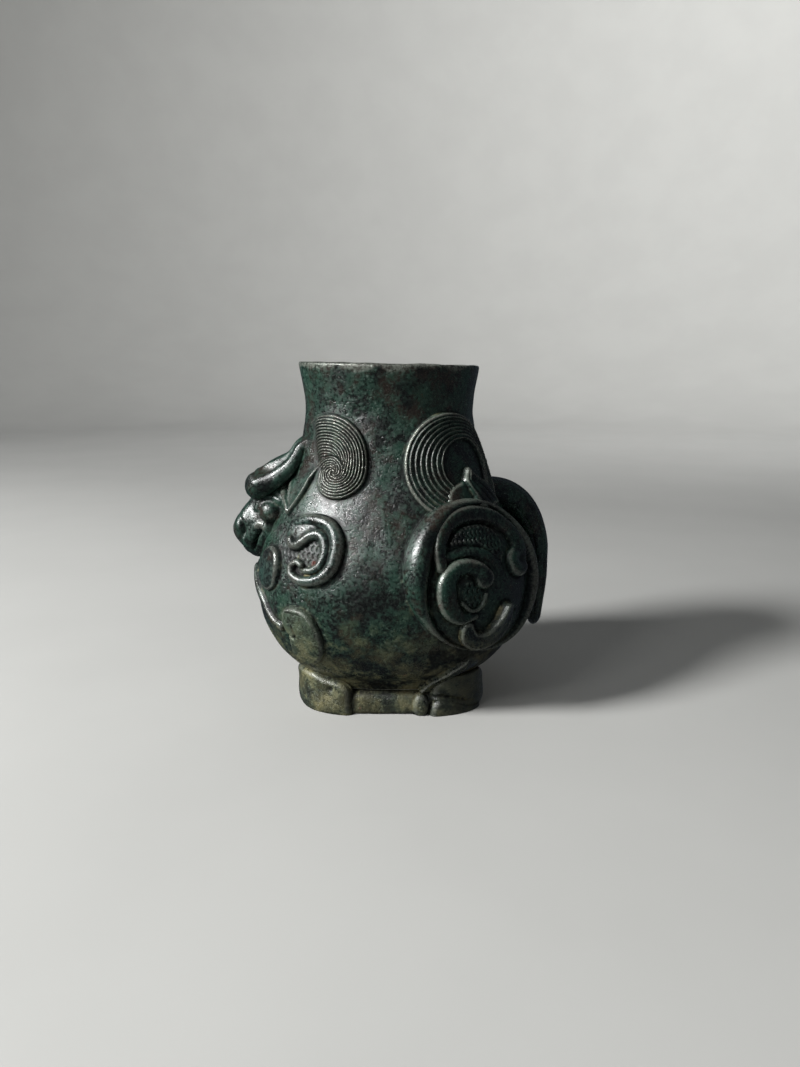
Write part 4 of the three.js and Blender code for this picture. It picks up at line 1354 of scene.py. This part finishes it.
@dataclass(frozen=True)
class Horn:
    """Petal-shaped horn that lies back over the head: a thick roll below and a hollow petal above it."""

    path: Path = (
        (-30.0, -6.8, 102.6), (-34.4, -7.4, 99.6), (-36.6, -7.9, 96.0), (-39.0, -8.2, 92.6),
        (-42.4, -8.4, 89.7), (-46.4, -8.2, 86.8), (-50.5, -7.8, 83.6), (-54.8, -7.2, 80.4),
    )
    half_thickness: tuple[float, ...] = (1.6, 1.7, 2.2, 3.4, 4.4, 5.0, 5.7, 6.0)
    underside: tuple[float, ...] = (4.4, 4.6, 4.8, 5.0, 5.2, 5.5, 5.8, 6.0)
    half_width: float = 6.4
    petal: Points = (
        (-0.75, -0.5), (0.0, -0.98), (0.46, -1.0), (0.86, -0.8), (1.0, -0.45), (0.95, -0.1), (0.8, 0.22),
        (0.6, 0.36), (0.42, 0.1), (0.04, 0.4), (-0.3, 1.0), (-0.66, 0.84), (-0.98, 0.1),
    )  # section in half-widths towards the near side and half-thicknesses upwards

    def build(self) -> Piece:
        """Sweeps the petal along its path."""
        mesh = spindle("left_horn", 160, 180, self._surface)
        write_points(mesh, WALL.keep_out(read(mesh)))
        roughen(mesh)
        store_ridges_and_hollows(mesh, proudness(mesh))
        return Piece("horn", mesh, Slot.GREEN)

    def _surface(self, turn: Array, share: Array) -> Array:
        """Points on the horn for turns and shares from 0 to 1."""
        controls = np.asarray(self.petal)
        places = np.linspace(0.0, 1.0, 721)
        petal, bulb = (
            spline(turn, places, curve(section, len(places), closed=True))
            for section in (controls, controls / np.linalg.norm(controls, axis=1, keepdims=True))
        )
        near, upward = (petal + (bulb - petal) * ease(share, 0.6, 0.86)[:, None]).T
        full = blunt(share, 0.02, 0.2)
        half = np.where(upward > 0.0, along(self.half_thickness, share), along(self.underside, share))
        return sweep(self.path, share, -near * self.half_width * full, -upward * half * full)


@dataclass(frozen=True)
class Tail:
    """Strap tail that springs from the rump, arches over and hangs clear of the wall, with combed strands."""

    path: Path = (
        (33.0, 0.0, 79.4), (42.0, 0.0, 79.4), (48.6, 0.0, 76.2), (53.4, 0.0, 70.0), (56.8, 0.0, 60.0),
        (57.7, 0.0, 48.0), (57.3, 0.0, 36.0), (57.0, 0.0, 26.2),
    )
    half_widths: tuple[float, float] = (8.8, 5.4)  # at the rump and at the tip
    half_thicknesses: tuple[float, float] = (6.6, 2.8)
    strand_count: int = 9
    strand_depth: float = 0.55
    reach: float = 62.0

    def build(self) -> Piece:
        """Sweeps the strap and combs its strands."""
        mesh = spindle("tail", 150, 180, self._surface)
        points = WALL.keep_out(read(mesh))
        points[:, 0] = np.minimum(points[:, 0], self.reach)
        write_points(mesh, points)
        roughen(mesh)
        store_ridges_and_hollows(mesh, proudness(mesh))
        return Piece("tail", mesh, Slot.DARK)

    def _surface(self, turn: Array, share: Array) -> Array:
        """Points on the tail for turns and shares from 0 to 1."""
        full = blunt(share, 0.01, 0.08)
        angle = 2.0 * math.pi * turn
        combed = ease(share, 0.12, 0.3) * ease(share, 1.0, 0.93)
        comb = 1.0 - strands(turn + 0.25 / self.strand_count, self.strand_count)
        cut = self.strand_depth * combed * comb
        (rump_width, tip_width), (rump_thickness, tip_thickness) = self.half_widths, self.half_thicknesses
        width = rump_width + (tip_width - rump_width) * share
        thickness = rump_thickness + (tip_thickness - rump_thickness) * share**1.5
        across, thick = width * full - cut, thickness * full - cut
        return sweep(self.path, share, across * np.cos(angle), thick * np.sin(angle))


# Finishes


def srgb(red: float, green: float, blue: float) -> Colour:
    """Linear colour with alpha from 0 to 255 screen values."""
    screen = [value / 255 for value in (red, green, blue)]
    return (*(v / 12.92 if v < 0.0404 else ((v + 0.055) / 1.055) ** 2.4 for v in screen), 1.0)


class Wire:
    """A node's output; arithmetic on it adds Math nodes."""

    def __init__(self, graph: "Graph", socket: bpy.types.NodeSocket | None) -> None:
        """Wraps a socket of a graph."""
        self.graph = graph
        self.socket = socket

    def __add__(self, other: "Wire | float") -> "Wire":
        """Sum."""
        return self.graph.math("ADD", self, other)

    def __sub__(self, other: "Wire | float") -> "Wire":
        """Difference."""
        return self.graph.math("SUBTRACT", self, other)

    def __rsub__(self, other: float) -> "Wire":
        """Difference from a number on the left."""
        return self.graph.math("SUBTRACT", other, self)

    def __mul__(self, other: "Wire | float") -> "Wire":
        """Product."""
        return self.graph.math("MULTIPLY", self, other)

    __radd__ = __add__
    __rmul__ = __mul__


class Graph:
    """Node tree of one material."""

    def __init__(self, name: str) -> None:
        """Starts a material with an empty node tree."""
        self.material = bpy.data.materials.new(name)
        self.material.use_nodes = True
        self.tree = self.material.node_tree
        self.tree.nodes.clear()

    def add(self, kind: str, settings: dict[str, object] | None = None,
            inputs: dict[str | int, object] | None = None, output: str | int = 0) -> Wire:
        """Adds a node.

        Args:
            kind: Node type without the ShaderNode prefix.
            settings: Attributes of the node.
            inputs: Values or wires by socket name or number.
            output: Output socket that the wire starts from.

        Returns:
            The node's output.
        """
        node = self.tree.nodes.new("ShaderNode" + kind)
        for key, value in (settings or {}).items():
            setattr(node, key, value)
        for key, value in (inputs or {}).items():
            socket = node.inputs[key]
            if isinstance(value, Wire):
                self.tree.links.new(value.socket, socket)
            else:
                socket.default_value = value
        return Wire(self, node.outputs[output] if len(node.outputs) else None)

    def math(self, operation: str, first: Wire | float, second: Wire | float) -> Wire:
        """Adds a Math node."""
        return self.add("Math", {"operation": operation}, {0: first, 1: second})

    def between(self, value: Wire, low: float, high: float) -> Wire:
        """Smooth step of a value from 0 at low to 1 at high."""
        return self.add("MapRange", {"interpolation_type": "SMOOTHSTEP"},
                        {"Value": value, "From Min": low, "From Max": high})

    def mix(self, share: Wire, first: Wire | Colour, second: Wire | Colour) -> Wire:
        """Mixes two colours, with all of the second one at share 1."""
        return self.add("Mix", {"data_type": "RGBA"}, {0: share, 6: first, 7: second}, output=2)

    def place(self) -> Wire:
        """Object coordinates in metres."""
        return self.add("TexCoord", None, None, "Object")

    def noise(self, place: Wire, scale: float, detail: float, roughness: float = 0.55) -> Wire:
        """Noise with features of about one over scale metres."""
        inputs = {"Vector": place, "Scale": scale, "Detail": detail, "Roughness": roughness}
        return self.add("TexNoise", None, inputs)

    def dots(self, place: Wire, scale: float) -> Wire:
        """Distance to the nearest of scattered dots, about one over scale metres apart."""
        return self.add("TexVoronoi", None, {"Vector": place, "Scale": scale}, "Distance")

    def attribute(self, name: str) -> Wire:
        """Number stored on the mesh's vertices."""
        return self.add("Attribute", {"attribute_type": "GEOMETRY", "attribute_name": name}, None, "Fac")


@dataclass(frozen=True)
class Patina:
    """Aged surface of the bronze.

    Attributes:
        slot: Material slot that it dresses.
        ground: Main colour.
        shade: Darker mottling; low on the tail side it is also laid on as painted shade.
        bloom: Green corrosion.
        bloom_share: How much of the surface the green covers, from 0 to 1.
        earth: How thickly tan earth clings to it; over 1 it also covers where little clings.
        wear_and_glint: How strongly high places are rubbed bare and lightened as painted glints, from 0 to 1.
        roughness: Roughness of the waxed surface.
        grain: Strength of its pits and grains, from 0 to 1.
    """

    slot: Slot
    ground: Colour
    shade: Colour
    bloom: Colour
    bloom_share: float
    earth: float
    wear_and_glint: float
    roughness: float
    grain: float

    # bare metal on rubbed ridges, also standing in for painted glints and highlights
    BARE_AND_GLINT = srgb(120, 122, 114)
    EARTH = srgb(118, 110, 76)
    OLIVE = srgb(68, 68, 46)
    RUST = srgb(96, 50, 40)
    BROWN = srgb(40, 33, 27)
    SPECKLE = srgb(104, 122, 110)
    # near-black painted shade for creases and recesses
    PAINTED_SHADE = srgb(4, 5, 5)

    def material(self) -> bpy.types.Material:
        """Builds the node tree: mottled ground, green bloom, earth low down, painted shade in creases and on
        the low tail side, bare edges with painted glints.
        """
        graph = Graph(self.slot.value)
        between = graph.between
        place = graph.place()
        shifted = graph.add("VectorMath", {"operation": "ADD"}, {0: place, 1: (0.31, 0.17, 0.53)})
        broad = graph.noise(place, 48.0, 5.0, 0.62)
        middle = graph.noise(place, 190.0, 6.0, 0.66)
        fine = graph.noise(place, 850.0, 4.0, 0.65)
        grit = graph.noise(shifted, 2600.0, 2.0, 0.6)
        other = graph.noise(shifted, 85.0, 6.0, 0.64)
        ridge, hollow = graph.attribute("ridge"), graph.attribute("hollow")
        height = graph.add("SeparateXYZ", None, {0: place}, "Z")
        rear = between(graph.add("SeparateXYZ", None, {0: place}, "X"), -0.01, 0.03)
        low = between(height, 0.052, 0.01)
        mouth = between(height, 0.108, 0.128)

        mottle = between(middle * 0.45 + fine * 0.35 + broad * 0.2, 0.4, 0.6)
        colour = graph.mix(mottle, self.shade, self.ground)
        brown = between(other + mouth * 0.12, 0.5, 0.62)
        colour = graph.mix(brown * 0.7, colour, self.BROWN)
        spread = 0.6 - 0.2 * self.bloom_share
        bloom = between(broad * 0.35 + middle * 0.3 + fine * 0.35, spread - 0.06, spread + 0.07)
        colour = graph.mix(bloom * 0.75, colour, self.bloom)
        speckle = between(fine * 0.6 + grit * 0.4, 0.55, 0.64) * between(broad, 0.38, 0.6)
        colour = graph.mix(speckle * 0.35, colour, self.SPECKLE)
        colour = graph.mix(low * between(other, 0.44, 0.58) * 0.6, colour, self.OLIVE)
        # painted shade: the low tail side is pulled towards the darker mottling colour
        colour = graph.mix(low * rear * 0.6, colour, self.shade)
        # painted shade: creases and recesses turn near-black
        colour = graph.mix(hollow * between(fine, 0.75, 0.35) * 0.9, colour, self.PAINTED_SHADE)
        clinging = between(middle * 0.45 + broad * 0.35 + fine * 0.2 + low * 0.05, 0.52, 0.64)
        # less earth on the low tail side is painted shade too; less open earth in hollows keeps their painted
        # shade dark
        open_earth = low * (0.75 - rear * 0.5) * (1.0 - hollow * 0.9)
        earth = clinging * (open_earth + hollow * 0.35)
        colour = graph.mix(earth * self.earth, colour, self.EARTH)
        # bare metal on ridges and the lip: partly real wear, partly painted glints and highlights on the
        # edges
        lip = between(height + (other - 0.5) * 0.012, 0.1266, 0.1285) * between(fine, 0.3, 0.6) * 0.6
        rubbed_and_glint = between(ridge + fine * 0.6 - 0.3, 0.45, 1.1) * self.wear_and_glint + lip
        colour = graph.mix(rubbed_and_glint, colour, self.BARE_AND_GLINT)
        spots = between(graph.dots(place, 95.0) + (fine - 0.5) * 0.2, 0.16, 0.08)
        colour = graph.mix(spots * between(other, 0.58, 0.62) * 0.5, colour, self.RUST)

        roughness = self.roughness + (fine - 0.5) * 0.8 + bloom * 0.06 + hollow * 0.3 - rubbed_and_glint * 0.12
        pits = between(graph.dots(place, 700.0), 0.0, 0.35)
        grain = fine * 0.45 + grit * 0.4 + pits * 0.3 + middle * 0.15
        bump = graph.add("Bump", None, {"Strength": self.grain, "Distance": 0.0006, "Height": grain})
        waxed = graph.add("BsdfPrincipled", None, {
            "Base Color": colour, "Roughness": roughness, "Metallic": 0.12 + rubbed_and_glint * 0.5 - bloom * 0.1,
            "Normal": bump, "Specular IOR Level": 0.6, "Coat Weight": 0.1, "Coat Roughness": 0.2,
        })
        matt = graph.add("BsdfPrincipled", None, {
            "Base Color": colour, "Roughness": 0.8, "Specular IOR Level": 0.1,
        })
        # matt, low-sheen finish in hollows: partly dirt, partly painted shade that takes the sheen out of
        # shaded creases
        dirt_and_shade = hollow * between(fine, 0.8, 0.4) * 0.85
        shader = graph.add("MixShader", None, {0: dirt_and_shade, 1: waxed, 2: matt})
        graph.add("OutputMaterial", None, {"Surface": shader})
        return graph.material


PATINAS = (
    Patina(
        Slot.DARK, ground=srgb(28, 34, 30), shade=srgb(13, 15, 13), bloom=srgb(16, 48, 36),
        bloom_share=0.5, earth=0.7, wear_and_glint=0.75, roughness=0.28, grain=0.7,
    ),
    Patina(
        Slot.GREEN, ground=srgb(26, 36, 30), shade=srgb(11, 15, 13), bloom=srgb(14, 46, 35),
        bloom_share=0.5, earth=0.4, wear_and_glint=0.35, roughness=0.32, grain=0.35,
    ),
    Patina(
        Slot.WORN, ground=srgb(32, 39, 36), shade=srgb(11, 15, 13), bloom=srgb(20, 45, 38),
        bloom_share=0.4, earth=1.8, wear_and_glint=0.3, roughness=0.29, grain=0.4,
    ),
    Patina(
        Slot.OLIVE, ground=srgb(56, 61, 47), shade=srgb(24, 28, 22), bloom=srgb(38, 58, 44),
        bloom_share=0.45, earth=0.6, wear_and_glint=0.2, roughness=0.4, grain=0.8,
    ),
)


# The set


@dataclass(frozen=True)
class Lamp:
    """Round area lamp.

    Attributes:
        name: Name of the lamp.
        place: Where it hangs, in metres.
        size: Diameter in metres.
        power: Watts.
        sheen: True if the bronze mirrors the lamp.
        target: Point that it faces, in metres.
    """

    name: str
    place: tuple[float, float, float]
    size: float
    power: float
    sheen: bool = False
    target: tuple[float, float, float] = (0.0, 0.0, 0.065)

    def hang(self) -> None:
        """Adds the lamp to the scene."""
        data = bpy.data.lights.new(self.name, "AREA")
        data.shape = "DISK"
        data.size = self.size
        data.energy = self.power
        lamp = bpy.data.objects.new(self.name, data)
        lamp.location = self.place
        lamp.visible_camera = False
        lamp.visible_glossy = self.sheen
        lamp.rotation_euler = (Vector(self.target) - lamp.location).to_track_quat("-Z", "Y").to_euler()
        bpy.context.scene.collection.objects.link(lamp)


@dataclass(frozen=True)
class Studio:
    """Pale cove, soft lamps and a camera at the photograph's viewing angle."""

    frame_pixels: tuple[int, int] = (800, 1067)
    focal_pixels: float = 801.0
    camera_place: tuple[float, float, float] = (3.4, -310.0, 130.0)
    pitch_down: float = 12.12
    sensor_width: float = 36.0
    floor_radius: float = 1.4  # metres, as the next two
    cove_radius: float = 0.8
    wall_height: float = 1.8
    floor_colour: Colour = srgb(160, 160, 157)
    floor_mottle: float = 0.96
    sky_colour: Colour = (0.75, 0.88, 1.1, 1.0)
    sky_strength: float = 0.06
    lamps: tuple[Lamp, ...] = (
        Lamp("key", (-1.0, -0.46, 0.78), 0.3, 40.0, sheen=True),
        Lamp("window", (-0.85, -0.95, 0.95), 0.4, 3.5, sheen=True),
        Lamp("bounce", (-0.8, -0.55, 0.02), 0.7, 3.0),
        Lamp("fill", (-0.2, -1.4, 0.7), 1.2, 0.5),
        Lamp("sky", (0.0, 0.0, 2.3), 2.4, 4.0),
        Lamp("backdrop", (0.5, 0.7, 1.3), 1.0, 30.0, sheen=True, target=(1.0, 2.0, 0.9)),
    )

    def camera(self) -> None:
        """Camera with the photograph's lens and place."""
        data = bpy.data.cameras.new("camera")
        data.sensor_width = self.sensor_width
        data.lens = data.sensor_width * self.focal_pixels / max(self.frame_pixels)
        data.clip_start = 0.01
        camera = bpy.data.objects.new("camera", data)
        camera.location = Vector(self.camera_place) * MM
        camera.rotation_euler = (math.radians(90.0 - self.pitch_down), 0.0, 0.0)
        bpy.context.scene.collection.objects.link(camera)
        bpy.context.scene.camera = camera

    def cove(self) -> None:
        """Round floor that curves up into a wall, the same on every side of the vase."""
        mesh = spindle("floor", 96, 80, self._cove_surface)
        graph = Graph("floor")
        mottle = graph.between(graph.noise(graph.place(), 9.0, 3.0), 0.3, 0.7)
        darker = tuple(self.floor_mottle * value for value in self.floor_colour[:3]) + (1.0,)
        colour = graph.mix(mottle, self.floor_colour, darker)
        shader = graph.add("BsdfPrincipled", None, {"Base Color": colour, "Roughness": 0.7})
        graph.add("OutputMaterial", None, {"Surface": shader})
        mesh.materials.append(graph.material)
        floor = bpy.data.objects.new("floor", mesh)
        floor.visible_glossy = False
        bpy.context.scene.collection.objects.link(floor)
        floor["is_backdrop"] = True

    def _cove_surface(self, turn: Array, share: Array) -> Array:
        """Points on the cove for turns and shares from its middle to its top, in metres."""
        bend = 0.5 * math.pi * self.cove_radius
        run = share * (self.floor_radius + bend + self.wall_height)
        angle = np.clip((run - self.floor_radius) / self.cove_radius, 0.0, 0.5 * math.pi)
        reach = np.minimum(run, self.floor_radius) + self.cove_radius * np.sin(angle)
        rise = self.cove_radius * (1.0 - np.cos(angle)) + raised(run - self.floor_radius - bend)
        turn = 2.0 * math.pi * turn
        return np.column_stack([reach * np.cos(turn), reach * np.sin(turn), rise])

    def light(self) -> None:
        """Key lamp and window from the beast's head side, weak lamps, a lamp on the wall and an even sky."""
        for lamp in self.lamps:
            lamp.hang()
        world = bpy.data.worlds.new("sky")
        world.use_nodes = True
        background = world.node_tree.nodes["Background"]
        background.inputs["Color"].default_value = self.sky_colour
        background.inputs["Strength"].default_value = self.sky_strength
        bpy.context.scene.world = world
        bpy.context.scene.view_settings.view_transform = "Standard"


# Putting it together


def install(piece: Piece, materials: dict[Slot, bpy.types.Material], box: Array) -> None:
    """Places a finished piece in the frame, in place of its CAD node.

    Args:
        piece: Mesh in millimetres with its node and slot.
        materials: Material of each slot.
        box: Lowest and highest corners, in metres, that the casting's unevenness stays inside.
    """
    write_points(piece.mesh, np.clip(read(piece.mesh) * MM, box[0], box[1]))
    piece.mesh.materials.append(materials[piece.slot])
    item = bpy.data.objects.new(piece.node + "_bronze", piece.mesh)
    bpy.context.scene.collection.objects.link(item)
    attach(item, "root")
    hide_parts(piece.node)
    LOG.info("%s: %d faces", item.name, len(piece.mesh.polygons))


def main() -> None:
    """Builds and dresses every piece and sets the stage."""
    logging.basicConfig(level=logging.INFO, format="%(name)s %(message)s")
    cad_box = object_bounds()
    materials = {patina.slot: patina.material() for patina in PATINAS}
    vessel = Vessel()
    ornaments = reliefs()
    on_wall = [relief for relief in ornaments if isinstance(relief.site, WallSite) and relief.seat == SEAM]
    pieces = [vessel.body(on_wall), vessel.foot(), vessel.plate(), Head().build(), Tail().build()]
    paired = [Piece(relief.node, relief.build(), relief.slot) for relief in ornaments] + [Horn().build()]
    for piece in paired:
        left, right = "left_" + piece.node, "right_" + piece.node
        pieces.append(Piece(left, piece.mesh, piece.slot))
        pieces.append(Piece(right, mirrored(piece.mesh, right), piece.slot))
    for piece in pieces:
        install(piece, materials, np.array(cad_box))
    studio = Studio()
    studio.camera()
    studio.cove()
    studio.light()
    LOG.info("%d pieces", len(pieces))


if __name__ == "__main__":
    main()
